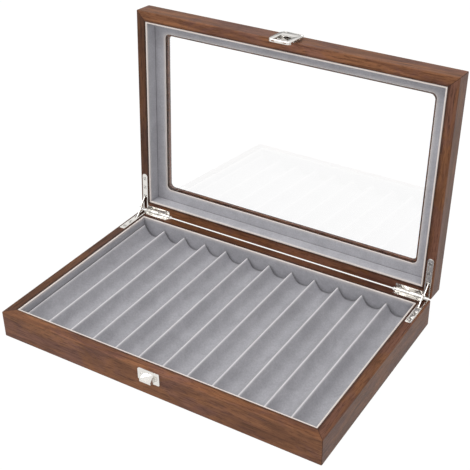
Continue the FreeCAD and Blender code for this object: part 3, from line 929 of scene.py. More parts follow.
class GrooveTree(ShapeTree):
    """A tray of rounded grooves between ridges, run from front to back."""

    title = "grooved tray"
    inputs = (("Grooves", "Int"), ("Columns", "Int"), ("Rows", "Int"), ("Half Width", "Float"),
              ("Half Length", "Float"), ("Ridge", "Float"), ("Floor", "Float"), ("Depth", "Float"),
              ("Underside", "Float"), ("End Roll", "Float"), ("Fold", "Float"), ("Unevenness", "Float"),
              ("Seed", "Float"), ("Material", "Material"))

    def __init__(self, profile: list[tuple[float, float]]) -> None:
        """Builds the tree for one groove profile.

        Args:
            profile: Points from the middle of a groove to its ridge: distance and height, 0 to 1.
        """
        self.profile = profile
        super().__init__()

    def wire(self, wiring: Wiring, given: bpy.types.bpy_prop_collection) -> bpy.types.NodeSocket:
        """Shapes a grid into the grooves and closes its sides.

        Args:
            wiring: Wiring of the tree.
            given: The tree's inputs.

        Returns:
            The tray, open underneath.
        """
        m = wiring.math
        grid = wiring.add("GeometryNodeMeshGrid")
        wiring.feed(grid.inputs["Size X"], 2.0)
        wiring.feed(grid.inputs["Size Y"], 2.0)
        wiring.feed(grid.inputs["Vertices X"], m("ADD", m("MULTIPLY", given["Grooves"], given["Columns"]), 1.0))
        wiring.feed(grid.inputs["Vertices Y"], given["Rows"])
        place = wiring.add("ShaderNodeSeparateXYZ")
        wiring.feed(place.inputs[0], wiring.add("GeometryNodeInputPosition").outputs[0])
        quarter = math.pi / 2
        count = m("MULTIPLY", m("MULTIPLY_ADD", place.outputs[0], 0.5, 0.5), given["Grooves"])
        cell = m("FLOOR", count)
        swing = m("SINE", m("MULTIPLY", m("MULTIPLY_ADD", m("SUBTRACT", count, cell), 2.0, -1.0), quarter))
        pitch = m("DIVIDE", m("MULTIPLY", m("SUBTRACT", given["Half Width"], given["Ridge"]), 2.0), given["Grooves"])
        steps = m("ADD", cell, m("MULTIPLY_ADD", swing, 0.5, 0.5))
        x = m("SUBTRACT", m("MULTIPLY", steps, pitch), m("SUBTRACT", given["Half Width"], given["Ridge"]))
        y = m("MULTIPLY", m("SINE", m("MULTIPLY", place.outputs[1], quarter)), given["Half Length"])
        share = m("ABSOLUTE", swing)
        curve = wiring.add("ShaderNodeFloatCurve")
        points = curve.mapping.curves[0].points
        for index, (across, up) in enumerate(self.profile):
            point = points[index] if index < 2 else points.new(across, up)
            point.location = (across, up)
        for point in points:
            point.handle_type = "VECTOR"
        curve.mapping.update()
        wiring.feed(curve.inputs["Value"], share)
        height = m("MULTIPLY_ADD", curve.outputs[0], given["Depth"], given["Floor"])
        from_end = m("SUBTRACT", given["Half Length"], m("ABSOLUTE", y))
        roll = m("MULTIPLY", m("POWER", m("SUBTRACT", 1.0, m("MINIMUM", m("DIVIDE", from_end, given["End Roll"]), 1.0)), 2.0),
                 given["End Roll"])
        fold = m("MULTIPLY", wiring.ramp(m("ABSOLUTE", m("SUBTRACT", from_end, 0.0034)), 0.0, 0.0009, 1.0, 0.0), given["Fold"])
        spot = wiring.add("ShaderNodeCombineXYZ")
        for target, value in zip(spot.inputs, (x, y, m("MULTIPLY", height, 0.5))):
            wiring.feed(target, value)
        wave = wiring.add("ShaderNodeTexNoise", noise_dimensions="4D")
        wiring.feed(wave.inputs["Vector"], spot.outputs[0])
        wiring.feed(wave.inputs["W"], given["Seed"])
        wiring.feed(wave.inputs["Scale"], 70.0)
        uneven = m("MULTIPLY", m("SUBTRACT", wave.outputs["Fac"], 1.0), given["Unevenness"])
        lowered = m("SUBTRACT", m("ADD", height, uneven), m("ADD", roll, fold))
        target = wiring.add("ShaderNodeCombineXYZ")
        for socket, value in zip(target.inputs, (x, y, lowered)):
            wiring.feed(socket, value)
        shaped = wiring.add("GeometryNodeSetPosition")
        wiring.feed(shaped.inputs["Position"], target.outputs[0])
        # Painted highlight: the ridge crests are marked for the pale sheen colour.
        marked = wiring.add("GeometryNodeStoreNamedAttribute", data_type="FLOAT", domain="POINT")
        wiring.feed(marked.inputs["Geometry"], grid.outputs["Mesh"])
        wiring.feed(marked.inputs["Name"], "bent")
        wiring.feed(marked.inputs["Value"], wiring.ramp(share, 0.90, 0.965))
        # Painted shade: the last 2.4 mm at each end of the grooves, where they meet the linings, are marked for the
        # dark colour.
        ends = wiring.add("GeometryNodeStoreNamedAttribute", data_type="FLOAT", domain="POINT")
        wiring.feed(ends.inputs["Geometry"], marked.outputs[0])
        wiring.feed(ends.inputs["Name"], "deep")
        wiring.feed(ends.inputs["Value"], wiring.ramp(from_end, 0.0, 0.0024, 1.0, 0.0))
        wiring.feed(shaped.inputs["Geometry"], ends.outputs[0])
        edges = wiring.add("GeometryNodeInputMeshEdgeNeighbors")
        outline = wiring.add("FunctionNodeCompare", data_type="INT", operation="EQUAL")
        wiring.feed(outline.inputs["A"] if outline.inputs["A"].enabled else outline.inputs[2], edges.outputs[0])
        wiring.feed(outline.inputs[3], 1)
        sides = wiring.add("GeometryNodeExtrudeMesh", mode="EDGES")
        wiring.feed(sides.inputs["Mesh"], shaped.outputs[0])
        wiring.feed(sides.inputs["Selection"], outline.outputs[0])
        wiring.feed(sides.inputs["Offset Scale"], 0.0)
        spread = wiring.add("ShaderNodeSeparateXYZ")
        wiring.feed(spread.inputs[0], wiring.add("GeometryNodeInputPosition").outputs[0])
        base = wiring.add("ShaderNodeCombineXYZ")
        wiring.feed(base.inputs[0], spread.outputs[0])
        wiring.feed(base.inputs[1], spread.outputs[1])
        wiring.feed(base.inputs[2], given["Underside"])
        dropped = wiring.add("GeometryNodeSetPosition")
        wiring.feed(dropped.inputs["Geometry"], sides.outputs["Mesh"])
        wiring.feed(dropped.inputs["Selection"], sides.outputs["Top"])
        wiring.feed(dropped.inputs["Position"], base.outputs[0])
        return dropped.outputs[0]


class FastenerTree(ShapeTree):
    """Round heads set on points, each turned outwards, with or without a driver slot."""

    title = "fastener heads"
    inputs = (("Radius", "Float"), ("Height", "Float"), ("Crown", "Float"), ("Roll", "Float"),
              ("Slotted", "Bool"), ("Slot Width", "Float"), ("Slot Depth", "Float"), ("Seed", "Int"),
              ("Material", "Material"))

    def wire(self, wiring: Wiring, given: bpy.types.bpy_prop_collection) -> bpy.types.NodeSocket:
        """Shapes one head and sets it on every point.

        Args:
            wiring: Wiring of the tree.
            given: The tree's inputs.

        Returns:
            The heads as instances.
        """
        m = wiring.math
        drum = wiring.add("GeometryNodeMeshCylinder", fill_type="TRIANGLE_FAN")
        wiring.feed(drum.inputs["Vertices"], 28)
        wiring.feed(drum.inputs["Fill Segments"], 5)
        wiring.feed(drum.inputs["Radius"], given["Radius"])
        wiring.feed(drum.inputs["Depth"], given["Height"])
        place = wiring.add("ShaderNodeSeparateXYZ")
        wiring.feed(place.inputs[0], wiring.add("GeometryNodeInputPosition").outputs[0])
        across = m("SQRT", m("ADD", m("POWER", place.outputs[0], 2.0), m("POWER", place.outputs[1], 2.0)))
        share = m("MINIMUM", m("DIVIDE", across, given["Radius"]), 1.0)
        rise = m("MULTIPLY", given["Crown"], m("SUBTRACT", 1.0, m("POWER", share, given["Roll"])))
        on_top = m("GREATER_THAN", place.outputs[2], 0.0)
        level = wiring.add("ShaderNodeCombineXYZ")
        half = m("MULTIPLY", given["Height"], 0.5)
        wiring.feed(level.inputs[2], m("SUBTRACT", m("MULTIPLY", rise, on_top), half))
        domed = wiring.add("GeometryNodeSetPosition")
        wiring.feed(domed.inputs["Geometry"], drum.outputs["Mesh"])
        wiring.feed(domed.inputs["Offset"], level.outputs[0])
        bar = wiring.add("GeometryNodeMeshCube")
        size = wiring.add("ShaderNodeCombineXYZ")
        for target, value in zip(size.inputs, (m("MULTIPLY", given["Radius"], 2.4), given["Slot Width"],
                                               m("MULTIPLY", m("ADD", given["Slot Depth"], given["Crown"]), 2.0))):
            wiring.feed(target, value)
        wiring.feed(bar.inputs["Size"], size.outputs[0])
        raised = wiring.add("GeometryNodeTransform")
        up = wiring.add("ShaderNodeCombineXYZ")
        wiring.feed(up.inputs[2], given["Crown"])
        wiring.feed(raised.inputs["Geometry"], bar.outputs["Mesh"])
        wiring.feed(raised.inputs["Translation"], up.outputs[0])
        cut = wiring.add("GeometryNodeMeshBoolean", operation="DIFFERENCE")
        wiring.feed(cut.inputs["Mesh 1"], domed.outputs[0])
        wiring.feed(cut.inputs["Mesh 2"], raised.outputs[0])
        choice = wiring.add("GeometryNodeSwitch", input_type="GEOMETRY")
        wiring.feed(choice.inputs["Switch"], given["Slotted"])
        wiring.feed(choice.inputs["False"], domed.outputs[0])
        wiring.feed(choice.inputs["True"], cut.outputs["Mesh"])
        level = wiring.add("ShaderNodeSeparateXYZ")
        wiring.feed(level.inputs[0], wiring.add("GeometryNodeInputPosition").outputs[0])
        # Painted shade: points more than half a millimetre below the head's top, fully at 1.1 mm, are marked to be
        # darkened: the slot floors and the lower part of the head.
        recess_shaded = wiring.add("GeometryNodeStoreNamedAttribute", data_type="FLOAT", domain="POINT")
        wiring.feed(recess_shaded.inputs["Geometry"], choice.outputs[0])
        wiring.feed(recess_shaded.inputs["Name"], "recess_shade")
        wiring.feed(recess_shaded.inputs["Value"], wiring.ramp(level.outputs[2], -0.0011, -0.0005, 1.0, 0.0))
        outward = wiring.add("GeometryNodeInputNamedAttribute", data_type="FLOAT_VECTOR")
        wiring.feed(outward.inputs["Name"], "outward")
        aim = wiring.add("FunctionNodeAlignRotationToVector", axis="Z")
        wiring.feed(aim.inputs["Vector"], outward.outputs["Attribute"])
        angle = wiring.add("FunctionNodeRandomValue", data_type="FLOAT")
        wiring.feed(angle.inputs[2], 0.3)
        wiring.feed(angle.inputs[3], math.pi)
        wiring.feed(angle.inputs["Seed"], given["Seed"])
        spin = wiring.add("FunctionNodeAxisAngleToRotation")
        wiring.feed(spin.inputs["Axis"], (0.0, 0.0, 1.0))
        wiring.feed(spin.inputs["Angle"], angle.outputs[1])
        turned = wiring.add("FunctionNodeRotateRotation", rotation_space="LOCAL")
        wiring.feed(turned.inputs["Rotation"], aim.outputs[0])
        wiring.feed(turned.inputs["Rotate By"], spin.outputs[0])
        heads = wiring.add("GeometryNodeInstanceOnPoints")
        wiring.feed(heads.inputs["Points"], given["Geometry"])
        wiring.feed(heads.inputs["Instance"], recess_shaded.outputs[0])
        wiring.feed(heads.inputs["Rotation"], turned.outputs[0])
        return heads.outputs[0]


@dataclass(frozen=True)
class PenTray:
    """Velvet-covered tray with its pen grooves, in metres."""

    case: Case
    grooves: int = 12
    columns: int = 24
    rows: int = 61
    lining: float = 0.0020
    side_gap: float = 0.0005
    end_gap: float = 0.0009
    underside: float = 0.0038
    floor: float = 0.0082
    depth: float = 0.0110
    ridge_half: float = 0.0006
    ridge_rise: float = 0.00025
    flank: float = 58.0
    fillet: float = 0.0075
    end_roll: float = 0.0009
    fold: float = 0.00010
    unevenness: float = 0.00014
    seed: float = 3.0

    @property
    def half_width(self) -> float:
        """Half the width of the tray."""
        return self.case.inner_x - self.lining - self.side_gap

    @property
    def half_length(self) -> float:
        """Half the length of the tray from front to back."""
        return self.case.inner_y - self.lining - self.end_gap

    def profile(self) -> list[tuple[float, float]]:
        """Returns one half of a groove: shares of the half pitch and of the depth."""
        half_pitch = (self.half_width - self.ridge_half) / self.grooves
        slope = math.radians(self.flank)
        top_x = half_pitch - self.ridge_half
        top_z = self.depth - self.ridge_rise
        start = top_x - (top_z - self.fillet) / math.tan(slope) - self.fillet / math.sin(slope)
        points = [(0.0, 0.0)]
        for step in range(6):
            turn = slope * step / 5
            across = start + self.fillet * math.sin(turn)
            points.append((across / half_pitch, self.fillet * (1 - math.cos(turn)) / self.depth))
        points.append((top_x / half_pitch, top_z / self.depth))
        points.append(((top_x + half_pitch) / 2 / half_pitch, 1 - 0.25 * self.ridge_rise / self.depth))
        points.append((1.0, 1.0))
        return points

    def build(self, shop: Workshop, velvet: bpy.types.Material) -> bpy.types.Object:
        """Makes the tray and sets it in the base.

        Args:
            shop: Workshop that finishes pieces.
            velvet: Its cloth.

        Returns:
            The tray.
        """
        tree = GrooveTree(self.profile())
        mesh = tree.run("pen_tray_velvet", bpy.data.meshes.new("tray_start"), {
            "Grooves": self.grooves, "Columns": self.columns, "Rows": self.rows,
            "Half Width": self.half_width, "Half Length": self.half_length, "Ridge": self.ridge_half,
            "Floor": self.floor, "Depth": self.depth, "Underside": self.underside,
            "End Roll": self.end_roll, "Fold": self.fold, "Unevenness": self.unevenness,
            "Seed": self.seed, "Material": velvet,
        })
        build = bmesh.new()
        build.from_mesh(mesh)
        bmesh.ops.remove_doubles(build, verts=build.verts, dist=1e-6)
        open_edges = [edge for edge in build.edges if len(edge.link_faces) == 1]
        bmesh.ops.holes_fill(build, edges=open_edges)
        mesh = shop.mesh_from("pen_tray_velvet", build, 50.0)
        tray = shop.piece("pen_tray_velvet", mesh, velvet, Slot.VELVET, "base")
        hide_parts("pen_tray")
        return tray


@dataclass(frozen=True)
class Lining:
    """Four mitred, cloth-covered strips inside the rails of one half, in metres."""

    case: Case
    half: Half
    thickness: float = 0.0020
    recess: float = 0.0002
    soft_edge: float = 0.00085
    # Depth below the rim over which the painted sheen highlight fades.
    fold_sheen_depth: float = 0.0011
    stations: int = 41
    arc_steps: int = 5
    waviness: float = 0.00016

    @property
    def rim(self) -> float:
        """Height of the soft edge."""
        if self.half is Half.BASE:
            return self.case.base_height - self.recess
        return self.case.lid_rim + self.recess

    @property
    def foot(self) -> float:
        """Height of the edge that is hidden deep in the case."""
        return 0.0038 if self.half is Half.BASE else 0.0432

    def section(self) -> list[tuple[float, float]]:
        """Returns the outline of a strip: distance inwards and height, round from the outer foot."""
        inwards = 1.0 if self.foot < self.rim else -1.0
        radius = self.soft_edge
        points = [(0.0, self.foot), (0.0, (self.foot + self.rim) / 2)]
        for step in range(self.arc_steps + 1):
            turn = math.pi / 2 * step / self.arc_steps
            points.append((radius * (1 - math.cos(turn)), self.rim - inwards * radius * (1 - math.sin(turn))))
        for step in range(self.arc_steps + 1):
            turn = math.pi / 2 * step / self.arc_steps
            across = self.thickness - radius * (1 - math.sin(turn))
            points.append((across, self.rim - inwards * radius * (1 - math.cos(turn))))
        for share in (0.12, 0.3, 0.55, 0.8, 0.93):
            points.append((self.thickness, self.rim + (self.foot - self.rim) * (share * 0.9 + 0.06)))
        points.append((self.thickness, self.foot))
        return points

    def strip(self, side: Side) -> bpy.types.Mesh:
        """Builds one strip, mitred at both ends.

        Args:
            side: The side of the case that it lines.

        Returns:
            Its mesh, on the shut case or, for the lid, on the open one.
        """
        out_x, out_y = side.value
        half_run = self.case.inner_x if out_x == 0 else self.case.inner_y
        wall_at = self.case.inner_y if out_x == 0 else self.case.inner_x
        section = self.section()
        build = bmesh.new()
        bent = build.verts.layers.float.new("bent")
        deep = build.verts.layers.float.new("deep")
        turn = self.case.opening() if self.half is Half.LID else Matrix.Identity(4)
        rings = []
        for station in range(self.stations):
            share = 2 * station / (self.stations - 1) - 1
            ring = []
            for inward, height in section:
                run = share * (half_run - inward)
                from_rim = abs(height - self.rim)
                wave = math.sin(run * 95 + out_x) * math.sin(run * 41 + height * 160 + 2 * out_y)
                loose = self.waviness * (0.5 - 0.5 * wave) * min(1.0, from_rim / 0.003)
                depth = inward - (loose if inward > self.thickness * 0.9 else 0.0)
                plan = Vector((out_x, out_y, 0)) * (wall_at - depth) + Vector((-out_y, out_x, 0)) * run
                vert = build.verts.new(turn @ Vector((plan.x, plan.y, height)))
                # Painted highlight: the cloth near the rim is marked for the pale sheen colour.
                vert[bent] = max(0.0, 1.0 - from_rim / self.fold_sheen_depth) ** 0.6
                # Painted shade: the foot edge, in the joint, is marked for the dark colour.
                vert[deep] = 1.0 if abs(height - self.foot) < 1e-6 else 0.0
                ring.append(vert)
            rings.append(ring)
        for first, second in zip(rings, rings[1:]):
            for index in range(len(section)):
                after = (index + 1) % len(section)
                build.faces.new((first[index], first[after], second[after], second[index]))
        build.faces.new(rings[0])
        build.faces.new(list(reversed(rings[-1])))
        return Workshop.mesh_from(f"{self.half.value}_{side.name.lower()}_lining_velvet", build, 60.0)

    def build(self, shop: Workshop, velvet: bpy.types.Material) -> list[bpy.types.Object]:
        """Makes the four strips.

        Args:
            shop: Workshop that finishes pieces.
            velvet: Their cloth.

        Returns:
            The strips.
        """
        strips = []
        for side in Side:
            mesh = self.strip(side)
            strip = shop.piece(mesh.name, mesh, velvet, Slot.VELVET, self.half.value)
            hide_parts(f"{self.half.value}_{side.name.lower()}_lining")
            strips.append(strip)
        return strips


@dataclass(frozen=True)
class WindowFrame:
    """Velvet-covered inner frame of the window, in metres."""

    case: Case
    clearance: float = 0.0001
    border: float = 0.0138
    corner: float = 0.0050
    low: float = 0.0432
    thickness: float = 0.0014
    corner_steps: int = 8
    side_steps: int = 24
    edge_steps: int = 6
    pillow: float = 0.00012

    def opening_loop(self) -> list[tuple[Vector, Vector]]:
        """Returns points round the opening, each with its outward direction in plan."""
        half_x = self.case.inner_x - self.border
        half_y = self.case.inner_y - self.border
        loop = []
        for sign_x, sign_y, start in ((1, 1, 0), (-1, 1, 90), (-1, -1, 180), (1, -1, 270)):
            centre = Vector((sign_x * (half_x - self.corner), sign_y * (half_y - self.corner), 0))
            for step in range(self.corner_steps + 1):
                turn = math.radians(start + 90 * step / self.corner_steps)
                way = Vector((math.cos(turn), math.sin(turn), 0))
                loop.append((centre + way * self.corner, way))
        whole = []
        for (place, way), (next_place, next_way) in zip(loop, loop[1:] + loop[:1]):
            whole.append((place, way))
            if (next_place - place).length > 3 * self.corner:
                for step in range(1, self.side_steps):
                    whole.append((place.lerp(next_place, step / self.side_steps), way))
        return whole

    def outer_point(self, place: Vector, way: Vector) -> Vector:
        """Returns the point of the frame's outer edge that lies outwards of a point of the opening.

        Args:
            place: Point of the opening.
            way: Outward direction there.

        Returns:
            Point on the outer rectangle.
        """
        half_x = self.case.inner_x - self.clearance
        half_y = self.case.inner_y - self.clearance
        aim = place + way * self.border
        corner_way = abs(way.x) > 1e-6 and abs(way.y) > 1e-6
        if corner_way:
            scale = self.border / max(abs(way.x), abs(way.y))
            aim = place + way * scale
        return Vector((max(-half_x, min(half_x, aim.x)), max(-half_y, min(half_y, aim.y)), 0))

    def build(self, shop: Workshop, velvet: bpy.types.Material) -> bpy.types.Object:
        """Makes the frame and sets it in the lid.

        Args:
            shop: Workshop that finishes pieces.
            velvet: Its cloth.

        Returns:
            The frame.
        """
        build = bmesh.new()
        bent = build.verts.layers.float.new("bent")
        turn = self.case.opening()
        radius = self.thickness / 2
        columns = []
        for place, way in self.opening_loop():
            outer = self.outer_point(place, way)
            column = [(outer, self.low, 0.0)]
            for share in (0.75, 0.5, 0.25):
                spot = place.lerp(outer, share)
                sag = self.pillow * math.sin(spot.x * 130 + 1) * math.sin(spot.y * 150)
                column.append((spot, self.low + abs(sag), 0.0))
            for step in range(self.edge_steps + 1):
                angle = math.pi * step / self.edge_steps
                inset = radius * (1 - math.sin(angle))
                # Painted highlight: the rolled edge is marked for the pale sheen colour, the ends of the roll a
                # little.
                bend = 1.0 if 0 < step < self.edge_steps else 0.35
                column.append((place + way * inset, self.low + radius * (1 - math.cos(angle)), bend))
            column.append((place.lerp(outer, 0.5), self.low + self.thickness, 0.0))
            column.append((outer, self.low + self.thickness, 0.0))
            verts = []
            for spot, height, bend in column:
                vert = build.verts.new(turn @ Vector((spot.x, spot.y, height)))
                vert[bent] = bend
                verts.append(vert)
            columns.append(verts)
        for first, second in zip(columns, columns[1:] + columns[:1]):
            for index in range(len(first)):
                after = (index + 1) % len(first)
                build.faces.new((first[index], first[after], second[after], second[index]))
        bmesh.ops.remove_doubles(build, verts=build.verts, dist=1e-6)
        mesh = shop.mesh_from("window_frame_velvet", build, 60.0)
        piece = shop.piece("window_frame_velvet", mesh, velvet, Slot.VELVET, "lid")
        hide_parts("window_frame")
        return piece


@dataclass(frozen=True)
class UnderFelt:
    """Felt sheet under the bottom board, in metres."""

    half_width: float = 0.1637
    half_depth: float = 0.1047
    thickness: float = 0.0008
    columns: int = 90
    rows: int = 58
    pressed: float = 0.00012

    def build(self, shop: Workshop, felt: bpy.types.Material) -> bpy.types.Object:
        """Makes the sheet with its slightly uneven face.

        Args:
            shop: Workshop that finishes pieces.
            felt: Its cloth.

        Returns:
            The sheet.
        """
        build = bmesh.new()
        layers = []
        for level in (0.0, self.thickness):
            rows = []
            for row in range(self.rows + 1):
                y = self.half_depth * (2 * row / self.rows - 1)
                line = []
                for column in range(self.columns + 1):
                    x = self.half_width * (2 * column / self.columns - 1)
                    wave = 0.5 + 0.5 * math.sin(x * 210) * math.sin(y * 260 + x * 90)
                    lift = self.pressed * wave if level == 0.0 else 0.0
                    line.append(build.verts.new((x, y, level + lift)))
                rows.append(line)
            layers.append(rows)
        for rows in layers:
            for low, high in zip(rows, rows[1:]):
                for index in range(self.columns):
                    build.faces.new((low[index], low[index + 1], high[index + 1], high[index]))
        low, high = layers
        rims = []
        for rows in (low, high):
            rims.append(rows[0] + [line[-1] for line in rows[1:]] + rows[-1][-2::-1]
                        + [line[0] for line in rows[-2:0:-1]])
        for index in range(len(rims[0])):
            after = (index + 1) % len(rims[0])
            build.faces.new((rims[0][index], rims[0][after], rims[1][after], rims[1][index]))
        mesh = shop.mesh_from("under_felt", build, 60.0)
        piece = shop.piece("under_felt", mesh, felt, Slot.FELT, "base")
        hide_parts("bottom_felt")
        2 * self.half_width
        return piece


@dataclass(frozen=True)
class Hardware:
    """Stamped and turned metal pieces: every node gets eased edges, in metres."""

    eased: tuple[tuple[str, float], ...] = (
        ("catch_plate", 0.00022), ("hasp_plate", 0.00018), ("hasp_flap", 0.00022), ("hasp_pin", 0.00015),
        ("base_hinge_leaf_left", 0.00014), ("base_hinge_leaf_right", 0.00014),
        ("lid_hinge_leaf_left", 0.00014), ("lid_hinge_leaf_right", 0.00014),
        ("hinge_pin_left", 0.00015), ("hinge_pin_right", 0.00015),
        ("base_stay_pin_left", 0.00010), ("base_stay_pin_right", 0.00010),
        ("lid_stay_pin_left", 0.00010), ("lid_stay_pin_right", 0.00010),
        ("lower_stay_link_left", 0.00010), ("lower_stay_link_right", 0.00010),
        ("upper_stay_link_left", 0.00010), ("upper_stay_link_right", 0.00010),
    )

    def build(self, shop: Workshop, nickel: bpy.types.Material) -> list[bpy.types.Object]:
        """Makes every metal piece with eased edges.

        Args:
            shop: Workshop that finishes pieces.
            nickel: Their plating.

        Returns:
            The pieces.
        """
        pieces = []
        for node, easing in self.eased:
            build = bmesh.new()
            build.from_mesh(frame["nodes"][node].data)
            bmesh.ops.remove_doubles(build, verts=build.verts, dist=2e-6)
            bmesh.ops.dissolve_limit(build, angle_limit=math.radians(1.0), verts=build.verts, edges=build.edges)
            sharp = [edge for edge in build.edges
                     if len(edge.link_faces) == 2 and edge.calc_face_angle(0.0) > math.radians(30)]
            bmesh.ops.bevel(build, geom=sharp, offset=easing, offset_type="OFFSET", segments=2,
                            profile=0.5, affect="EDGES", clamp_overlap=True)
            mesh = shop.mesh_from(f"{node}_nickel", build, 28.0)
            piece = shop.piece(f"{node}_nickel", mesh, nickel, Slot.NICKEL, shop.body_of(node))
            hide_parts(node)
            pieces.append(piece)
        return pieces


@dataclass(frozen=True)
class Fasteners:
    """Hinge screws and plate nails, placed on the shut case, in metres."""

    case: Case
    side_reach: tuple[float, float] = (0.0275, 0.0378)
    back_inset: tuple[float, float] = (0.0126, 0.0326)
    back_depth: float = 0.0042
    screw_radius: float = 0.00170
    screw_height: float = 0.0013
    sunk: float = 0.00012
    nail_radius: float = 0.00125
    catch_nail: tuple[float, float, float] = (0.0077, -0.112, 0.0218)
    hasp_nail: tuple[float, float, float] = (0.0081, -0.112, 0.0338)

    def screw_places(self) -> list[Vector]:
        """Returns the places of the base leaves' screws in plan, at the leaf's face."""
        axis = self.case.half_depth + self.case.axis_behind
        middle = self.case.half_width - self.case.wall / 2
        height = self.case.base_height - self.sunk
        places = []
        for sign in (-1, 1):
            places += [Vector((sign * middle, axis - reach, height)) for reach in self.side_reach]
            places += [Vector((sign * (self.case.half_width - inset), self.case.half_depth - self.back_depth, height))
                       for inset in self.back_inset]
        return places

    def points(self, name: str, places: Iterable[Vector], outward: Vector, turn: Matrix) -> bpy.types.Mesh:
        """Makes a mesh of points that carry the direction their heads face.

        Args:
            name: Name of the mesh.
            places: Places on the shut case.
            outward: Direction that the heads face there.
            turn: Turn from the shut case to where the half is.

        Returns:
            The points.
        """
        mesh = bpy.data.meshes.new(name)
        mesh.from_pydata([turn @ place for place in places], [], [])
        facing = mesh.attributes.new("outward", "FLOAT_VECTOR", "POINT")
        way = turn.to_3x3() @ outward
        for item in facing.data:
            item.vector = way
        return mesh

    def build(self, shop: Workshop, nickel: bpy.types.Material) -> list[bpy.types.Object]:
        """Makes one piece of screws and one of nails for each half.

        Args:
            shop: Workshop that finishes pieces.
            nickel: Their plating.

        Returns:
            The pieces.
        """
        tree = FastenerTree()
        still = Matrix.Identity(4)
        opened = self.case.opening()
        base = self.screw_places()
        level = 2 * self.case.hinge_axis.z
        lid = [Vector((place.x, place.y, level - place.z)) for place in base]
        screw = {"Radius": self.screw_radius, "Height": self.screw_height, "Crown": 0.00010, "Roll": 7.0,
                 "Slotted": True, "Slot Width": 0.00075, "Slot Depth": 0.0009, "Material": nickel}
        nail = {"Radius": self.nail_radius, "Height": 0.00025, "Crown": 0.00050, "Roll": 2.2,
                "Slotted": False, "Slot Width": 0.0, "Slot Depth": 0.0, "Material": nickel}
        down, front = Vector((0, 0, -1)), Vector((0, -1, 0))
        catch = [Vector((sign * self.catch_nail[0], self.catch_nail[1] - 0.0002, self.catch_nail[2])) for sign in (-1, 1)]
        hasp = [Vector((sign * self.hasp_nail[0], self.hasp_nail[1] - 0.0002, self.hasp_nail[2])) for sign in (-1, 1)]
        jobs = (
            ("base_hinge_screws", base, -down, still, screw, "base", 5),
            ("lid_hinge_screws", lid, down, opened, screw, "lid", 8),
            ("catch_nails", catch, front, still, nail, "base", 1),
            ("hasp_nails", hasp, front, opened, nail, "lid", 1),
        )
        pieces = []
        for name, places, outward, turn, sizes, body, seed in jobs:
            start = self.points(name + "_points", places, outward, turn)
            mesh = tree.run(name, start, {**sizes, "Seed": seed})
            pieces.append(shop.piece(name, mesh, nickel, Slot.NICKEL, body))
        return pieces


@dataclass(frozen=True)
class Studio:
    """Floor, world and lamps."""

    floor_half: float = 6.0
    ambient: float = 0.58
    key_power: float = 11.0
    top_power: float = 9.5
    fill_power: float = 2.5
    floor_glow: float = 0.95
    horizon: float = 0.35

    def build(self) -> None:
        """Makes the plain pale floor, the white surroundings and the soft lamps."""
        self.floor()
        self.world()
        self.lamp("key_light", Vector((-1.1, -0.9, 1.7)), 1.1, self.key_power)
        self.lamp("top_light", Vector((-0.1, -0.3, 1.9)), 1.4, self.top_power)
        self.lamp("fill_light", Vector((1.5, -0.8, 1.0)), 1.3, self.fill_power)

    @staticmethod
    def seen(wiring: Wiring) -> bpy.types.NodeSocket:
        """Returns 1 where a ray comes from the camera, a reflection or through glass."""
        path = wiring.add("ShaderNodeLightPath").outputs
        either = wiring.math("MAXIMUM", path["Is Camera Ray"], path["Is Glossy Ray"])
        return wiring.math("MAXIMUM", either, path["Is Transmission Ray"])

    def floor(self) -> None:
        """Makes the floor, which keeps the shadow and looks nearly white."""
        build = bmesh.new()
        half = self.floor_half
        corners = [build.verts.new((x * half, y * half, -0.0001)) for x, y in ((-1, -1), (1, -1), (1, 1), (-1, 1))]
        build.faces.new(corners)
        mesh = bpy.data.meshes.new("floor")
        build.to_mesh(mesh)
        build.free()
        material = bpy.data.materials.new("pale floor")
        material.use_nodes = True
        wiring = Wiring(material.node_tree)
        material.node_tree.nodes.remove(material.node_tree.nodes["Principled BSDF"])
        matt = wiring.add("ShaderNodeBsdfDiffuse")
        matt.inputs["Color"].default_value = (0.86, 0.86, 0.86, 1.0)
        glow = wiring.add("ShaderNodeEmission")
        glow.inputs["Strength"].default_value = 1.04
        blend = wiring.add("ShaderNodeMixShader")
        wiring.feed(blend.inputs[0], wiring.math("MULTIPLY", self.seen(wiring), self.floor_glow))
        wiring.feed(blend.inputs[1], matt.outputs[0])
        wiring.feed(blend.inputs[2], glow.outputs[0])
        wiring.feed(material.node_tree.nodes["Material Output"].inputs["Surface"], blend.outputs[0])
        mesh.materials.append(material)
        floor = bpy.data.objects.new("floor", mesh)
        bpy.context.scene.collection.objects.link(floor)

    def world(self) -> None:
        """Makes the white surroundings, which light the object less than they show."""
        world = bpy.data.worlds.new("surroundings")
        world.use_nodes = True
        bpy.context.scene.world = world
        wiring = Wiring(world.node_tree)
        ground = world.node_tree.nodes["Background"]
        ground.inputs["Color"].default_value = (1.0, 1.0, 1.0, 1.0)
        level = wiring.math("MULTIPLY_ADD", self.seen(wiring), 1.04 - self.ambient, self.ambient)
        height = wiring.add("ShaderNodeSeparateXYZ")
        wiring.feed(height.inputs[0], wiring.add("ShaderNodeTexCoord").outputs["Generated"])
        low = wiring.ramp(height.outputs[2], 0.12, 0.42, 1.0 - self.horizon, 0.0)
        glossy = wiring.add("ShaderNodeLightPath").outputs["Is Glossy Ray"]
        dimmed = wiring.math("SUBTRACT", 1.0, wiring.math("MULTIPLY", low, glossy))
        wiring.feed(ground.inputs["Strength"], wiring.math("MULTIPLY", level, dimmed))

    @staticmethod
    def lamp(name: str, place: Vector, size: float, power: float) -> None:
        """Makes a square soft lamp aimed at the box.

        Args:
            name: Name of the lamp.
            place: Where it hangs.
            size: Length of its side.
            power: Its power in watts.
        """
        data = bpy.data.lights.new(name, "AREA")
        data.size = size
        data.energy = power
        lamp = bpy.data.objects.new(name, data)
        bpy.context.scene.collection.objects.link(lamp)
        lamp.location = place
        lamp.rotation_mode = "QUATERNION"
        lamp.rotation_quaternion = (Vector((0, 0.02, 0.05)) - place).to_track_quat("-Z", "Y")


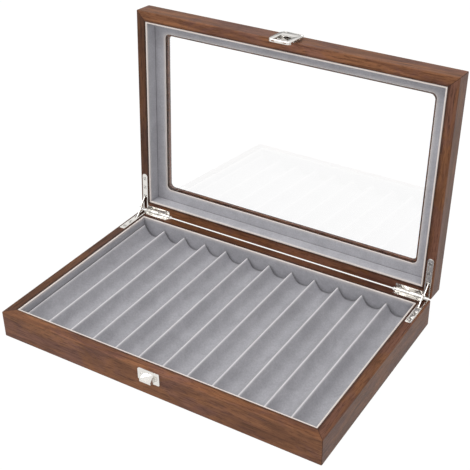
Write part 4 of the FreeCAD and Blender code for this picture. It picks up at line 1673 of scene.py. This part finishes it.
@dataclass(frozen=True)
class PhotoCamera:
    """Camera at the photograph's viewing angle."""

    place: tuple[float, float, float] = (0.42981, -0.64829, 0.58805)
    azimuth: float = 30.9945
    elevation: float = 32.0413
    roll: float = -0.2356
    focal_px: float = 1009.864
    centre_px: tuple[float, float] = (253.905, 239.891)
    frame_px: float = 470.0

    def build(self) -> None:
        """Makes the camera and makes it the scene's."""
        azimuth, elevation = math.radians(self.azimuth), math.radians(self.elevation)
        back = Vector((math.sin(azimuth) * math.cos(elevation), -math.cos(azimuth) * math.cos(elevation),
                       math.sin(elevation)))
        level = (-back).cross(Vector((0, 0, 1))).normalized()
        upright = level.cross(-back)
        roll = math.radians(self.roll)
        right = level * math.cos(roll) + upright * math.sin(roll)
        up = upright * math.cos(roll) - level * math.sin(roll)
        data = bpy.data.cameras.new("photo_camera")
        data.sensor_width = 36.0
        data.lens = self.focal_px / self.frame_px * data.sensor_width
        data.shift_x = (self.frame_px / 2 - self.centre_px[0]) / self.frame_px
        data.shift_y = (self.centre_px[1] - self.frame_px / 2) / self.frame_px
        data.clip_start = 0.02
        camera = bpy.data.objects.new("photo_camera", data)
        bpy.context.scene.collection.objects.link(camera)
        camera.matrix_world = Matrix.Translation(self.place) @ Matrix((right, up, back)).transposed().to_4x4()
        bpy.context.scene.camera = camera


def dress(nodes: Iterable[str], material: bpy.types.Material) -> None:
    """Gives CAD nodes their finish.

    Args:
        nodes: Names of the nodes.
        material: The finish.
    """
    for name in nodes:
        data = frame["nodes"][name].data
        data.materials.clear()
        data.materials.append(material)
        log.info("dressed %s with %s", name, material.name)


def main() -> None:
    """Builds the scene in order."""
    logging.basicConfig(level=logging.INFO, format="%(message)s")
    bpy.context.scene.view_settings.view_transform = "Standard"
    case = Case()
    shop = Workshop(case)
    walnut = Walnut(case=case)
    for half in Half:
        sides = [f"{half.value}_{side.name.lower()}_rail" for side in Side]
        dress(sides, walnut.rails(half))
    dress(["lid_top_panel"], walnut.panel())
    dress(["bottom_panel"], Board().material())
    dress(["glass_pane"], WindowGlass().material())
    velvet = Cloth().material()
    # Pale colour of the painted sheen highlight on the trims' folded edges.
    cream = (238, 228, 221)
    trims = {
        Half.BASE: Cloth(title="grey velvet base trim", bright=cream).material(),
        # The lid's copy is painted lighter than the base's: the same velvet, with painted light where the lid's
        # linings and frame catch more light.
        Half.LID: Cloth(title="grey velvet lid trim", shade=(178, 177, 182), tone=(190, 189, 194),
                        bright=cream).material(),
    }
    felt = Cloth(title="dark felt", shade=(44, 42, 43), tone=(58, 55, 56), bright=(70, 67, 68),
                 speckle=0.35, sheen=0.15, depth=0.0002).material()
    nickel = Plating().material()
    pieces = [PenTray(case).build(shop, velvet)]
    for half in Half:
        pieces += Lining(case, half).build(shop, trims[half])
    pieces.append(WindowFrame(case).build(shop, trims[Half.LID]))
    pieces.append(UnderFelt().build(shop, felt))
    pieces += Hardware().build(shop, nickel)
    pieces += Fasteners(case).build(shop, nickel)
    for piece in pieces:
        log.info("made %s, %d faces", piece.name, len(piece.data.polygons))
    Studio().build()
    PhotoCamera().build()


if __name__ == "__main__":
    main()
